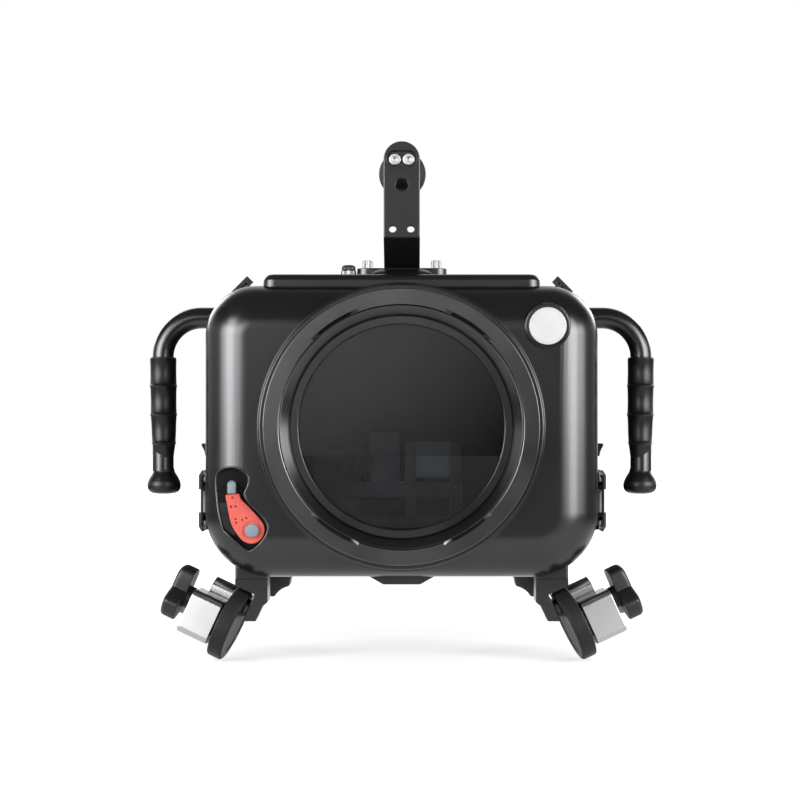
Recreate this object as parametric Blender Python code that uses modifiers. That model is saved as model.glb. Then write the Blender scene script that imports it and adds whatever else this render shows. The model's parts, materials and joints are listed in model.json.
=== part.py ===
# Underwater housing for a cinema camera, modelled as its separate pieces.
#
# Metres, +Z up, the front looks along -Y. The frame's origin is on the floor under the middle of the
# housing. Pieces are placed by three values: x, the depth behind the front face, and the height above
# the port axis.

import bpy
import bmesh
from math import asin, cos, degrees, exp, pi, radians, sin, sqrt
from mathutils import Matrix, Vector

# Fits
GAP = 0.0003                 # air between two pieces that touch
RUNNING = 0.0006             # air round a piece that turns or slides
WALL = 0.008

# Body
BODY_HALF_WIDTH = 0.182
BODY_TOP = 0.131
BODY_BOTTOM = 0.139
BODY_DEPTH = 0.245
SPLIT_DEPTH = 0.150
TOP_CORNER = 0.047
BOTTOM_CORNER = 0.061
FRONT_EDGE = 0.042
REAR_EDGE = 0.018
MAIN_RING_RADIUS = 0.0016

# Raised deck on top
DECK_HALF_WIDTH = BODY_HALF_WIDTH - 0.053
DECK_TOP = BODY_TOP + 0.0105
DECK_START = 0.012
DECK_END = 0.222
DECK_ROUND = 0.008
DECK_HOLLOW = 0.0151         # the hollow under the deck's front lip starts this far below the top
REAR_DECK_STEP = 0.001       # the rear deck lies lower, so the carry handle's plate passes over it

# Port
BOSS_RADIUS = 0.129
BOSS_FRONT = -0.0065
BOSS_BACK = 0.034
FLANGE_RADIUS = 0.125
FLANGE_FRONT = -0.010
FLANGE_LIP = 0.006
FLANGE_SLEEVE_RADIUS = 0.120
FLANGE_BACK = 0.022
BARREL_RADIUS = 0.1116
BARREL_FRONT = -0.0105
BARREL_BACK = 0.030
BARREL_LIP = 0.0035
BAYONET_HEIGHT = 0.0044
BAYONET_BACK = 0.0025
LUG_ANGLE = radians(16)
LUG_PLACES = [radians(a) for a in (33, 147, 213, 327)]
LUG_TURN = radians(22)
GLASS_RADIUS = 0.1018
GLASS_THICKNESS = 0.0097
GLASS_FRONT = 0.0143
RETAINER_BORE = 0.094
RETAINER_THICKNESS = 0.0035
SEAT_WIDTH = 0.0066
GASKET_THICKNESS = 0.0013
PORT_RING_RADIUS = 0.0014
PORT_GROOVE_FRONT = 0.0085
PORT_RIM = 0.0038             # width of the barrel's rim in front of its cone

# Badge
BADGE_X = BODY_HALF_WIDTH - 0.0495
BADGE_HEIGHT = BODY_TOP - 0.0395
BADGE_RADIUS = 0.0169
BADGE_RIM = 0.0040
BADGE_STAND = 0.0025
BADGE_THICKNESS = 0.0012

# Red lever
HUB_X = 0.0462 - BODY_HALF_WIDTH
HUB_HEIGHT = 0.0451 - BODY_BOTTOM
POCKET_FLOOR = 0.0125
POCKET_BACK = 0.024
LEVER_FRONT = 0.0040
LEVER_THICKNESS = 0.0055
SHAFT_RADIUS = 0.003
LEVER_CAP_RADIUS = 0.0062
LEVER_CAP_THICKNESS = 0.0028
TIP_PIN_RADIUS = 0.0041
TIP_PIN_LENGTH = 0.0118
CRANK_LENGTH = 0.020
GLAND_RADIUS = 0.006

# Side handles
TUBE_RADIUS = 0.010
TUBE_DEPTH = 0.090
TUBE_HEIGHT = BODY_TOP - 0.0268
TUBE_BEND = 0.037
TUBE_SEAT_X = BODY_HALF_WIDTH - 0.0120
GRIP_X = BODY_HALF_WIDTH + 0.0463
GRIP_TOP = TUBE_HEIGHT - TUBE_BEND - 0.0006
GRIP_NECK = GRIP_TOP - 0.1086
GRIP_BOTTOM = GRIP_NECK - 0.0216
GRIP_HALF_WIDTH = 0.0125
GRIP_HALF_DEPTH = 0.0165
FINGER_PITCH = 0.0273
FINGER_DEPTH = 0.0026
KNOB_HALF_WIDTH = 0.0158
NECK_HALF_WIDTH = 0.0088

# Carry handle
POST_HALF_WIDTH = 0.017
POST_THICKNESS = 0.010
POST_DEPTH = 0.050
BAR_HEIGHT = DECK_TOP + 0.1085
BAR_RADIUS = 0.014
BAR_LENGTH = 0.0914
BAR_FLANGE_RADIUS = 0.0232
BAR_FLANGE_THICKNESS = 0.006
BEND_HEIGHT = DECK_TOP + 0.040
BEND_RUN = 0.026
PLATE_HALF_WIDTH = 0.0425
PLATE_FRONT = 0.065
PLATE_BACK = 0.196
PLATE_THICKNESS = 0.008
REAR_POST_THICKNESS = 0.008
REAR_POST_FOOT = 0.024
FRONT_POST_FOOT = 0.030
POST_SCREW_RADIUS = 0.0054
POST_SCREW_X = 0.0064
CAP_SCREW_X = 0.0326
CAP_SCREW_RADIUS = 0.0048
CAP_SCREW_HEIGHT = 0.0078

# Valve on the deck
VALVE_DEPTH = 0.075
VALVE_RADIUS = 0.0074
VALVE_HEIGHT = 0.0065
VALVE_CAP_HEIGHT = 0.0048

# Draw latches: t runs along the pivot, n stands off the seat, y runs to the rear
LATCH_HALF_WIDTH = 0.033
LATCH_TOP_HALF = 0.025      # a side latch's plate narrows to this at its top
LATCH_SLOPE_FOOT = 0.0345    # and its pad widens to this at the wall
LATCH_LENGTH = 0.042
LATCH_THICKNESS = 0.004
LATCH_PIVOT_RISE = 0.0025
LATCH_PIVOT_SETBACK = 0.006
LATCH_THROW = 0.008
LATCH_PIN_RADIUS = 0.002
LATCH_PIN_SLACK = 0.0002     # the cross pin is thinner than the trunnions by this
LATCH_EAR_INNER = 0.0193
LATCH_EAR_OUTER = 0.024
LATCH_PLAY = 0.0037
LATCH_PAD_HALF = 0.0247
LATCH_PAD_LENGTH = 0.0098
HOOK_HALF_WIDTH = 0.0105
HOOK_EYE_RADIUS = 0.0034
HOOK_THICKNESS = 0.0024
HOOK_CLAW = 0.0034
HOOK_CLAW_CLEAR = -0.0012
KEEPER_THICKNESS = 0.0035
KEEPER_SETBACK = 0.0042
CORNER_SEAT = 0.0034
SIDE_SEAT = 0.0103
SIDE_LATCH_HEIGHT = 0.0655 - BODY_BOTTOM
STRAP_LUG_HEIGHT = SIDE_LATCH_HEIGHT + 0.052

# Front feet
FOOT_DEPTH = 0.065
FOOT_HALF_LENGTH = 0.015
FOOT_OUTER_X = BODY_HALF_WIDTH - 0.0263
FOOT_INNER_X = FOOT_OUTER_X - 0.0304
FOOT_BOSS_DROP = 0.0026      # how far the boss reaches below the body
FOOT_BRACKET_DROP = 0.0236
FOOT_ARM_DROP = 0.0160       # from the bracket's floor to the end of its arm
FOOT_TILT = radians(24.6)
FOOT_TOE = radians(6)        # the discs turn their outer sides a little to the rear
DISC_RADIUS = 0.0346
DISC_RIM = 0.0136
DISC_THICKNESS = 0.0144
DISC_CONE_RADIUS = 0.0330
DISC_X = FOOT_OUTER_X + 0.0126
DISC_DROP = BODY_BOTTOM + 0.04293
DISC_LAND_RADIUS = 0.019
DISC_LAND = 0.0030           # raised seat on the outer side, under the weights
DISC_TOP_CLEAR = 0.0013      # between the bracket and the disc's upper edge
DISC_STAND = 0.0033          # between the bracket's arm and the disc
DISC_PIN_RADIUS = 0.003
DISC_STUD_RISE = 0.0055
DISC_BOLT_RISE = 0.0199
WEIGHT_SIZE = (0.0426, 0.040, 0.0306)
REAR_WEIGHT_SIZE = (0.040, 0.0195, 0.0240)
WEIGHT_RISE = -0.0040
REAR_WEIGHT_RISE = 0.0112
WEIGHT_PIN = (0.008, 0.0235)  # the rear weight's dowel: up the disc, and to the rear
CLAMP_RADIUS = 0.028
CLAMP_LOBE_HALF = 0.0118     # half the width of a lobe
CLAMP_HEIGHT = 0.0155
CLAMP_NECK_RADIUS = 0.011
CLAMP_NECK = 0.0065
CLAMP_VALLEYS = (53, 173, 293)
STUD_RADIUS = 0.004

# Rear brackets and legs
REAR_FOOT_DEPTH = 0.205
REAR_FOOT_OUTER_X = BODY_HALF_WIDTH - 0.032
REAR_FOOT_INNER_X = REAR_FOOT_OUTER_X - 0.0392
REAR_BRACKET_DROP = 0.0235
REAR_ARCH_RADIUS = 0.022
LEG_TOP = (REAR_FOOT_OUTER_X - 0.008, -0.027 - BODY_BOTTOM)
LEG_FOOT_X = REAR_FOOT_OUTER_X + 0.034
LEG_RADIUS = 0.0045
LEG_TIP_RADIUS = 0.0065
LEG_SEAT = 0.012

# Bottom boss
BOTTOM_BOSS_HALF = 0.031
BOTTOM_BOSS_FACE_HALF = 0.0172
BOTTOM_BOSS_HEIGHT = 0.0078
BOTTOM_BOSS_START = 0.045
BOTTOM_BOSS_LENGTH = 0.060

# Rear window
WINDOW_X = 0.0284
WINDOW_HEIGHT = -0.0334
WINDOW_OPENING = (0.050, 0.037)
WINDOW_LEDGE = 0.004
WINDOW_THICKNESS = 0.0042
FRAME_BORDER = 0.010
FRAME_THICKNESS = 0.004

# Drive train
GEAR_X = -0.0468
GEAR_HEIGHT = -0.0347
GEAR_TEETH = 24
PINION_TEETH = 16
GEAR_MODULE = 0.0015
GEAR_WIDTH = 0.005
GEAR_BACKLASH = 0.0007
GEAR_CLEAR = 0.003           # between the wheel and the tray behind it
AXLE_RADIUS = 0.003
DRIVE_RADIUS = 0.004
DRIVE_KNOB_RADIUS = 0.017
DRIVE_KNOB_HEIGHT = 0.0165

# Camera tray
TRAY_LEFT = -0.088
TRAY_RIGHT = 0.060
TRAY_DEPTH = 0.166
GEAR_DEPTH = TRAY_DEPTH - GEAR_WIDTH - GEAR_CLEAR
TRAY_LENGTH = 0.046
TRAY_BASE_HEIGHT = -0.100
TRAY_BASE_THICKNESS = 0.009
TRAY_TABLE_HEIGHT = -0.070
TRAY_TABLE_THICKNESS = 0.014
TRAY_POST_WIDTH = 0.011
TRAY_POSTS = (-0.049, 0.0077, 0.0532)
UPRIGHT_THICKNESS = 0.008
UPRIGHT_TOP = -0.016

# Rear push buttons
BUTTON_X = BODY_HALF_WIDTH - 0.064
BUTTON_HEIGHTS = (0.006, -0.026)
BUTTON_RADIUS = 0.007
BUTTON_STEM_RADIUS = 0.004
BUTTON_TRAVEL = 0.003

# Counts
RING_STEPS = 40
SMALL_STEPS = 20

# Places that follow from the sizes
SLANT_DOWN = DISC_RADIUS * cos(FOOT_TILT) + DISC_RIM * sin(FOOT_TILT) * cos(FOOT_TOE)
AXIS_Z = DISC_DROP + SLANT_DOWN
REAR_REACH = BODY_DEPTH + DRIVE_KNOB_HEIGHT + GAP
FACE_Y = -(REAR_REACH + BARREL_FRONT) / 2
BARREL_BORE = GLASS_RADIUS + GAP
FLANGE_BORE = BARREL_RADIUS + RUNNING
BAYONET_RADIUS = FLANGE_BORE + BAYONET_HEIGHT
LUG_RADIUS = BAYONET_RADIUS - RUNNING
VALVE_X = -PLATE_HALF_WIDTH - VALVE_RADIUS - RUNNING

part = bpy.data.collections.new("underwater_camera_housing")
cutters = bpy.data.collections.new("cutters")


# Scene and materials

def clear_scene():
    for item in list(bpy.data.objects):
        bpy.data.objects.remove(item, do_unlink=True)
    bpy.context.scene.collection.children.link(part)
    bpy.context.scene.collection.children.link(cutters)


def finish(name, colour, roughness, metallic=0.0):
    material = bpy.data.materials.new(name)
    material.use_nodes = True
    shader = material.node_tree.nodes["Principled BSDF"]
    shader.inputs["Base Color"].default_value = (*colour, 1.0)
    shader.inputs["Roughness"].default_value = roughness
    shader.inputs["Metallic"].default_value = metallic
    return material


def glass(name, colour):
    material = finish(name, colour, 0.03)
    shader = material.node_tree.nodes["Principled BSDF"]
    shader.inputs["Transmission Weight"].default_value = 0.9
    shader.inputs["IOR"].default_value = 1.49
    return material


HOUSING = finish("black_housing", (0.035, 0.035, 0.037), 0.42, 0.3)
RING = finish("black_ring", (0.05, 0.05, 0.052), 0.35, 0.6)
MOULDED = finish("black_moulded", (0.025, 0.025, 0.026), 0.55)
RUBBER = finish("rubber", (0.02, 0.02, 0.02), 0.8)
SILVER = finish("stainless_steel", (0.75, 0.75, 0.75), 0.22, 1.0)
RED = finish("red_lever", (0.85, 0.08, 0.06), 0.45)
GREY = finish("grey_plastic", (0.32, 0.34, 0.36), 0.5)
WHITE = finish("badge_white", (0.85, 0.85, 0.85), 0.4)
PORT_GLASS = glass("port_glass", (0.85, 0.88, 0.88))
WINDOW_CLEAR = glass("window_clear", (0.55, 0.62, 0.75))
INNER = finish("grey_inner_metal", (0.16, 0.16, 0.17), 0.4, 0.7)


# Places and shapes

def at(x, depth, height):
    return Vector((x, FACE_Y + depth, AXIS_Z + height))


FRONT_VIEW = Matrix(((1, 0, 0, 0), (0, 0, -1, 0), (0, 1, 0, 0), (0, 0, 0, 1)))
SIDE_VIEW = Matrix(((0, 0, 1, 0), (1, 0, 0, 0), (0, 1, 0, 0), (0, 0, 0, 1)))
BACK_AXIS = Vector((0, 1, 0))


def link(name, mesh, material=None, collection=None):
    item = bpy.data.objects.new(name, mesh)
    (collection or part).objects.link(item)
    if material:
        mesh.materials.append(material)
    return item


def solid(name, shape, material):
    mesh = bpy.data.meshes.new(name)
    shape.to_mesh(mesh)
    shape.free()
    mesh.shade_smooth()
    mesh.set_sharp_from_angle(angle=radians(32))
    return link(name, mesh, material)


def tool(name, shape):
    mesh = bpy.data.meshes.new(name)
    shape.to_mesh(mesh)
    shape.free()
    item = link(name, mesh, collection=cutters)
    item.hide_render = True
    item.display_type = "WIRE"
    return item


def boolean(item, other, operation="DIFFERENCE"):
    modifier = item.modifiers.new(operation.lower(), "BOOLEAN")
    modifier.operation = operation
    modifier.object = other
    modifier.solver = "EXACT"


def cut(item, name, shape):
    boolean(item, tool(name, shape), "DIFFERENCE")


def join(item, name, shape):
    boolean(item, tool(name, shape), "UNION")


def baked_mesh(item):
    bpy.context.view_layer.update()
    graph = bpy.context.evaluated_depsgraph_get()
    return bpy.data.meshes.new_from_object(item.evaluated_get(graph))


def bake(item):
    """Replaces an object's modifiers by their result."""
    mesh = baked_mesh(item)
    item.modifiers.clear()
    item.data = mesh
    return item


def set_origin(item, place):
    """Moves the object's origin onto a place, such as its joint's axis."""
    item.data.transform(Matrix.Translation(item.location - place))
    item.location = place
    return item


def mirrored(item, name):
    """A baked copy on the other side of the middle plane."""
    mesh = baked_mesh(item)
    mesh.transform(item.matrix_world)
    mesh.transform(Matrix.Scale(-1, 4, Vector((1, 0, 0))))
    mesh.flip_normals()
    mesh.name = name
    twin = link(name, mesh)
    place = item.matrix_world.translation.copy()
    place.x = -place.x
    return set_origin(twin, place)


def box(x0, x1, depth0, depth1, height0, height1):
    low = at(x0, depth0, height0)
    high = at(x1, depth1, height1)
    shape = bmesh.new()
    size = high - low
    matrix = Matrix.Translation((low + high) / 2) @ Matrix.Diagonal((*size, 1))
    bmesh.ops.create_cube(shape, size=1, matrix=matrix)
    return shape


def round_edges(shape, edges, radius, segments):
    bmesh.ops.bevel(shape, geom=edges, offset=radius, offset_type="OFFSET", segments=segments,
                    profile=0.5, affect="EDGES", clamp_overlap=False)


def edges_along(shape, axis):
    found = []
    for edge in shape.edges:
        run = (edge.verts[0].co - edge.verts[1].co).normalized()
        if abs(run[axis]) > 0.999:
            found.append(edge)
    return found


def rod(start, direction, radius, length, segments=SMALL_STEPS, end_radius=None):
    shape = bmesh.new()
    direction = Vector(direction).normalized()
    turn = Vector((0, 0, 1)).rotation_difference(direction).to_matrix().to_4x4()
    matrix = Matrix.Translation(Vector(start) + direction * length / 2) @ turn
    bmesh.ops.create_cone(shape, cap_ends=True, segments=segments, radius1=radius,
                          radius2=radius if end_radius is None else end_radius,
                          depth=length, matrix=matrix)
    return shape


def rear_rod(x, height, depth0, depth1, radius, segments=SMALL_STEPS):
    """A round bar along the port's direction."""
    return rod(at(x, depth0, height), BACK_AXIS, radius, depth1 - depth0, segments)


def arc(x, y, radius, start, stop, count):
    """Points on a round stretch, angles in degrees from +X."""
    points = []
    for i in range(count + 1):
        a = radians(start + (stop - start) * i / count)
        points.append((x + radius * cos(a), y + radius * sin(a)))
    return points


def smooth_loop(points, cuts):
    """A closed smooth line through the points."""
    result = []
    count = len(points)
    for i in range(count):
        p0, p1, p2, p3 = (Vector(points[(i + k - 1) % count]) for k in range(4))
        for j in range(cuts):
            u = j / cuts
            p = 0.5 * (2 * p1 + (p2 - p0) * u + (2 * p0 - 5 * p1 + 4 * p2 - p3) * u ** 2
                       + (3 * p1 - p0 - 3 * p2 + p3) * u ** 3)
            result.append((p.x, p.y))
    return result


def welded(curve):
    """The closed mesh of a curve."""
    guide = bpy.data.objects.new("guide", curve)
    cutters.objects.link(guide)
    mesh = baked_mesh(guide)
    bpy.data.objects.remove(guide, do_unlink=True)
    shape = bmesh.new()
    shape.from_mesh(mesh)
    bmesh.ops.remove_doubles(shape, verts=shape.verts, dist=1e-6)
    bmesh.ops.recalc_face_normals(shape, faces=shape.faces)
    return shape


def outline(name, loops, frame, thickness):
    """A flat outline, or one with holes, given a thickness about the frame's XY plane."""
    curve = bpy.data.curves.new(name, "CURVE")
    curve.dimensions = "2D"
    curve.fill_mode = "BOTH"
    curve.extrude = thickness / 2
    for loop in loops:
        spline = curve.splines.new("POLY")
        spline.points.add(len(loop) - 1)
        for point, (x, y) in zip(spline.points, loop):
            point.co = (x, y, 0, 1)
        spline.use_cyclic_u = True
    shape = welded(curve)
    bmesh.ops.dissolve_limit(shape, angle_limit=radians(0.5), verts=shape.verts, edges=shape.edges)
    shape.transform(frame)
    return shape


def front_outline(name, loops, depth0, depth1):
    """An outline drawn as seen from the front, x and height, between two depths."""
    frame = Matrix.Translation(at(0, (depth0 + depth1) / 2, 0)) @ FRONT_VIEW
    return outline(name, loops, frame, depth1 - depth0)


def side_outline(name, loops, x0, x1):
    """An outline drawn as seen from the side, depth and height, between two x values."""
    frame = Matrix.Translation(at((x0 + x1) / 2, 0, 0)) @ SIDE_VIEW
    return outline(name, loops, frame, x1 - x0)


def swept(path, radius, resolution, closed=False):
    """A round bar along a path of points."""
    curve = bpy.data.curves.new("path", "CURVE")
    curve.dimensions = "3D"
    curve.bevel_depth = radius
    curve.bevel_resolution = resolution
    curve.use_fill_caps = not closed
    spline = curve.splines.new("POLY")
    spline.points.add(len(path) - 1)
    for point, place in zip(spline.points, path):
        point.co = (*place, 1)
    spline.use_cyclic_u = closed
    return welded(curve)


def turned(name, profile, axis_place, material, steps=RING_STEPS, turn=None):
    """A turned piece. The profile is (radius, distance behind the place), outer side first."""
    mesh = bpy.data.meshes.new(name)
    points = [(r, 0, -d) for r, d in profile]
    closed = all(r > 1e-6 for r, _ in profile)
    lines = [(i, i + 1) for i in range(len(points) - 1)]
    if closed:
        lines.append((len(points) - 1, 0))
    mesh.from_pydata(points, lines, [])
    item = link(name, mesh, material)
    item.location = axis_place
    item.matrix_world = Matrix.Translation(axis_place) @ (turn or FRONT_VIEW)
    screw = item.modifiers.new("turn", "SCREW")
    screw.axis = "Z"
    screw.angle = 2 * pi
    screw.steps = steps
    screw.render_steps = steps
    screw.use_merge_vertices = True
    screw.merge_threshold = 1e-5
    screw.use_smooth_shade = True
    return item


def facing(direction):
    """The frame of a turned piece whose profile starts at the side that looks along the direction."""
    return Vector((0, 0, 1)).rotation_difference(Vector(direction).normalized()).to_matrix().to_4x4()


def strip(points, thickness):
    """The outline of a bent strip to the left of a line of points."""
    other = []
    for i, point in enumerate(points):
        before = Vector(points[max(i - 1, 0)])
        here = Vector(point)
        after = Vector(points[min(i + 1, len(points) - 1)])
        normals = []
        for a, b in ((before, here), (here, after)):
            run = b - a
            if run.length > 0:
                run.normalize()
                normals.append(Vector((-run.y, run.x)))
        normal = sum(normals, Vector((0, 0))).normalized()
        spread = max(normal.dot(normals[0]), 0.3)
        other.append(tuple(here + normal * thickness / spread))
    return list(points) + other[::-1]


def skin(rings):
    """A closed solid through a row of rings that have as many points each."""
    shape = bmesh.new()
    rows = [[shape.verts.new(p) for p in ring] for ring in rings]
    count = len(rows[0])
    for low, high in zip(rows, rows[1:]):
        for i in range(count):
            j = (i + 1) % count
            shape.faces.new((low[i], low[j], high[j], high[i]))
    shape.faces.new(rows[0][::-1])
    shape.faces.new(rows[-1])
    bmesh.ops.recalc_face_normals(shape, faces=shape.faces)
    return shape


# Shells

def body_block(inset, depth0, depth1, front_edge=0.0, rear_edge=0.0, corner_cuts=7, edge_cuts=5):
    """The body's outline, drawn in by an inset, between two depths."""
    shape = box(-BODY_HALF_WIDTH + inset, BODY_HALF_WIDTH - inset, depth0, depth1,
                -BODY_BOTTOM + inset, BODY_TOP - inset)
    middle = AXIS_Z + (BODY_TOP - BODY_BOTTOM) / 2
    for radius, upper in ((TOP_CORNER, True), (BOTTOM_CORNER, False)):
        corners = [e for e in edges_along(shape, 1) if (e.verts[0].co.z > middle) == upper
                   and abs(e.verts[0].co.x) > BODY_HALF_WIDTH - inset - 1e-5]
        round_edges(shape, corners, radius - inset, corner_cuts)
    for radius, depth in ((front_edge, depth0), (rear_edge, depth1)):
        if radius:
            y = FACE_Y + depth
            rim = [e for e in shape.edges if all(abs(v.co.y - y) < 1e-6 for v in e.verts)]
            round_edges(shape, rim, radius, edge_cuts)
    return shape


def body_loop(inset, corner_cuts):
    """The body's outline as points, drawn in by an inset."""
    side = BODY_HALF_WIDTH - inset
    top = TOP_CORNER - inset
    bottom = BOTTOM_CORNER - inset
    loop = arc(side - top, BODY_TOP - inset - top, top, 0, 90, corner_cuts)
    loop += arc(-side + top, BODY_TOP - inset - top, top, 90, 180, corner_cuts)
    loop += arc(-side + bottom, -BODY_BOTTOM + inset + bottom, bottom, 180, 270, corner_cuts)
    loop += arc(side - bottom, -BODY_BOTTOM + inset + bottom, bottom, 270, 360, corner_cuts)
    return loop


def deck_profile(start, end, top, front):
    """The raised deck seen from the side, its front hollowed into the face or its rear rounded."""
    root = BODY_TOP - WALL / 2
    if not front:
        return [(start, root), (end, root), (end, top - DECK_ROUND)] + \
            arc(end - DECK_ROUND, top - DECK_ROUND, DECK_ROUND, 15, 90, 4) + [(start, top)]
    foot = BODY_TOP - DECK_HOLLOW
    hollow = top - DECK_ROUND - foot
    line = arc(start, foot + hollow, hollow, -90, -8, 5)
    lip = line[-1][0]
    line += arc(lip + DECK_ROUND, top - DECK_ROUND, DECK_ROUND, 165, 90, 4)
    line += [(end, top), (end, root - WALL / 4), (start + 2 * WALL, root - WALL / 4)]
    line += [(start + WALL, foot - WALL / 2)]
    return line


def deck(name, start, end, top, front):
    """The raised deck, solid where its side view and its front view both are."""
    half = DECK_HALF_WIDTH
    low = BODY_TOP - 3 * WALL
    item = tool(name, side_outline(name, [deck_profile(start, end, top, front)], -half - WALL, half + WALL))
    ends = [(-half, low), (half, low), (half, top - DECK_ROUND)]
    ends += arc(half - DECK_ROUND, top - DECK_ROUND, DECK_ROUND, 22.5, 90, 3)
    ends += arc(-half + DECK_ROUND, top - DECK_ROUND, DECK_ROUND, 90, 157.5, 3)
    ends += [(-half, top - DECK_ROUND)]
    boolean(item, tool(name + "_ends", front_outline(name, [ends], start - WALL, end + WALL)), "INTERSECT")
    return item


def station(place, angle, seat):
    """The frame of a draw latch: X along its pivot, Y to the rear, Z off its seat."""
    turn = Matrix.Rotation(angle, 4, "Y")
    return Matrix.Translation(place) @ turn @ Matrix.Translation((0, 0, seat))


def latch_stations():
    corner_x = BODY_HALF_WIDTH - TOP_CORNER
    corner_height = BODY_TOP - TOP_CORNER
    reach = TOP_CORNER * sin(radians(45))
    stations = {}
    for side, word in ((-1, "left"), (1, "right")):
        corner = at(side * (corner_x + reach), SPLIT_DEPTH, corner_height + reach)
        stations["top_" + word] = station(corner, side * radians(45), CORNER_SEAT)
        flank = at(side * BODY_HALF_WIDTH, SPLIT_DEPTH, SIDE_LATCH_HEIGHT)
        stations["side_" + word] = station(flank, side * radians(90), SIDE_SEAT)
    return stations


LATCHES = latch_stations()


def local_box(t0, t1, y0, y1, n0, n1):
    shape = bmesh.new()
    matrix = Matrix.Translation(((t0 + t1) / 2, (y0 + y1) / 2, (n0 + n1) / 2)) @ \
        Matrix.Diagonal((t1 - t0, y1 - y0, n1 - n0, 1))
    bmesh.ops.create_cube(shape, size=1, matrix=matrix)
    return shape


def cross_outline(name, t0, t1, *loops):
    """An outline drawn as y and n of a latch, between two places along its pivot."""
    frame = Matrix.Translation(((t0 + t1) / 2, 0, 0)) @ SIDE_VIEW
    return outline(name, loops, frame, t1 - t0)


def placed(shape, frame):
    shape.transform(frame)
    return shape


def seat_depth(name):
    """How far a latch's pad reaches down into the wall below its seat."""
    return CORNER_SEAT + WALL * 0.85 if name.startswith("top") else SIDE_SEAT + WALL * 0.6


def add_latch_pads(shell, rear):
    for name, frame in LATCHES.items():
        down = -seat_depth(name)
        if rear:
            pad = local_box(-LATCH_PAD_HALF, LATCH_PAD_HALF, GAP / 2, LATCH_PAD_LENGTH, down, 0)
            join(shell, "pad_" + name, placed(pad, frame))
            if name.startswith("side"):
                join(shell, "pad_foot_" + name, placed(pad_foot(down), frame))
            add_ears(shell, name, frame)
            continue
        keep0 = -KEEPER_SETBACK - KEEPER_THICKNESS
        ridge = local_box(-HOOK_HALF_WIDTH, HOOK_HALF_WIDTH, keep0, keep0 + KEEPER_THICKNESS,
                          down, LATCH_PIVOT_RISE - HOOK_THICKNESS / 2 - GAP)
        join(shell, "keeper_" + name, placed(ridge, frame))


def end_outline(loop, y0, y1):
    """An outline drawn as t and n of a latch, between two places behind its seat's front."""
    return outline("end", [loop], Matrix.Translation((0, (y0 + y1) / 2, 0)) @ FRONT_VIEW, y1 - y0)


def pad_foot(down):
    """The slopes that lead from the wall up to a side latch's pad, clear of the lever's cheeks."""
    top = -LATCH_PIN_RADIUS + LATCH_PIN_SLACK
    loop = [(-LATCH_SLOPE_FOOT, -SIDE_SEAT), (-LATCH_PAD_HALF, top), (LATCH_PAD_HALF, top),
            (LATCH_SLOPE_FOOT, -SIDE_SEAT), (LATCH_SLOPE_FOOT - WALL / 2, down), (WALL / 2 - LATCH_SLOPE_FOOT, down)]
    return end_outline(loop, GAP / 2, LATCH_PAD_LENGTH - LATCH_PIN_SLACK)


def add_ears(shell, name, frame):
    y = LATCH_PIVOT_SETBACK
    n = LATCH_PIVOT_RISE
    radius = LATCH_PIN_RADIUS + 0.0015
    loop = [(y - radius, -0.002), (y + radius, -0.002)] + arc(y, n, radius, 0, 180, 8)
    for sign in (-1, 1):
        t0, t1 = sorted((sign * LATCH_EAR_INNER, sign * LATCH_EAR_OUTER))
        ear = cross_outline("ear", t0, t1, loop)
        join(shell, "ear_%s_%d" % (name, sign), placed(ear, frame))
        bore = rod((t0 - 0.001, y, n), (1, 0, 0), LATCH_PIN_RADIUS + GAP, t1 - t0 + 0.002, 12)
        cut(shell, "ear_bore_%s_%d" % (name, sign), placed(bore, frame))


def lever_pocket():
    """The pocket's outline, seen from the front, measured from the lever's hub."""
    return [(-0.0334, 0.0483), (-0.0319, 0.0228), (-0.0278, 0.0023), (-0.0235, -0.0026),
            (-0.0162, -0.0093), (-0.0035, -0.0191), (0.0060, -0.0137), (0.0125, -0.0060),
            (0.0148, 0.0012), (0.0131, 0.0080), (0.0061, 0.0169), (-0.0030, 0.0262),
            (-0.0062, 0.0330), (-0.0027, 0.0419), (-0.0035, 0.0495), (-0.0095, 0.0556),
            (-0.0180, 0.0578), (-0.0275, 0.0555)]


def lever_loop():
    """The lever's outline, seen from the front, measured from its hub."""
    return [(-0.0233, 0.0326), (-0.0223, 0.0227), (-0.0194, 0.0080), (-0.0149, -0.0015),
            (-0.0080, -0.0096), (0.0000, -0.0122), (0.0080, -0.0090), (0.0118, -0.0010),
            (0.0106, 0.0058), (0.0061, 0.0120), (-0.0022, 0.0210), (-0.0095, 0.0282),
            (-0.0121, 0.0333)]


def from_hub(points):
    return [(HUB_X + x, HUB_HEIGHT + z) for x, z in points]


def front_cavity():
    """The hollow of the front shell, less the bosses that stand in it."""
    cavity = tool("front_cavity", body_block(WALL, WALL, SPLIT_DEPTH + WALL, FRONT_EDGE - WALL,
                                             corner_cuts=6, edge_cuts=4))
    pocket = lever_pocket()
    left = HUB_X + min(x for x, _ in pocket) - WALL
    right = HUB_X + max(x for x, _ in pocket) + WALL
    low = HUB_HEIGHT + min(z for _, z in pocket) - WALL
    high = HUB_HEIGHT + max(z for _, z in pocket) + WALL
    cut(cavity, "pocket_boss", box(left, right, 0, POCKET_BACK, low, high))
    for side in (-1, 1):
        boss = rod(at(side * (TUBE_SEAT_X - WALL), TUBE_DEPTH, TUBE_HEIGHT), (side, 0, 0),
                   TUBE_RADIUS + WALL * 0.6, 0.05)
        cut(cavity, "tube_boss_%d" % side, boss)
    cut(cavity, "port_boss", rear_rod(0, 0, BOSS_FRONT, BOSS_BACK, BOSS_RADIUS, RING_STEPS))
    return cavity


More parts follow.
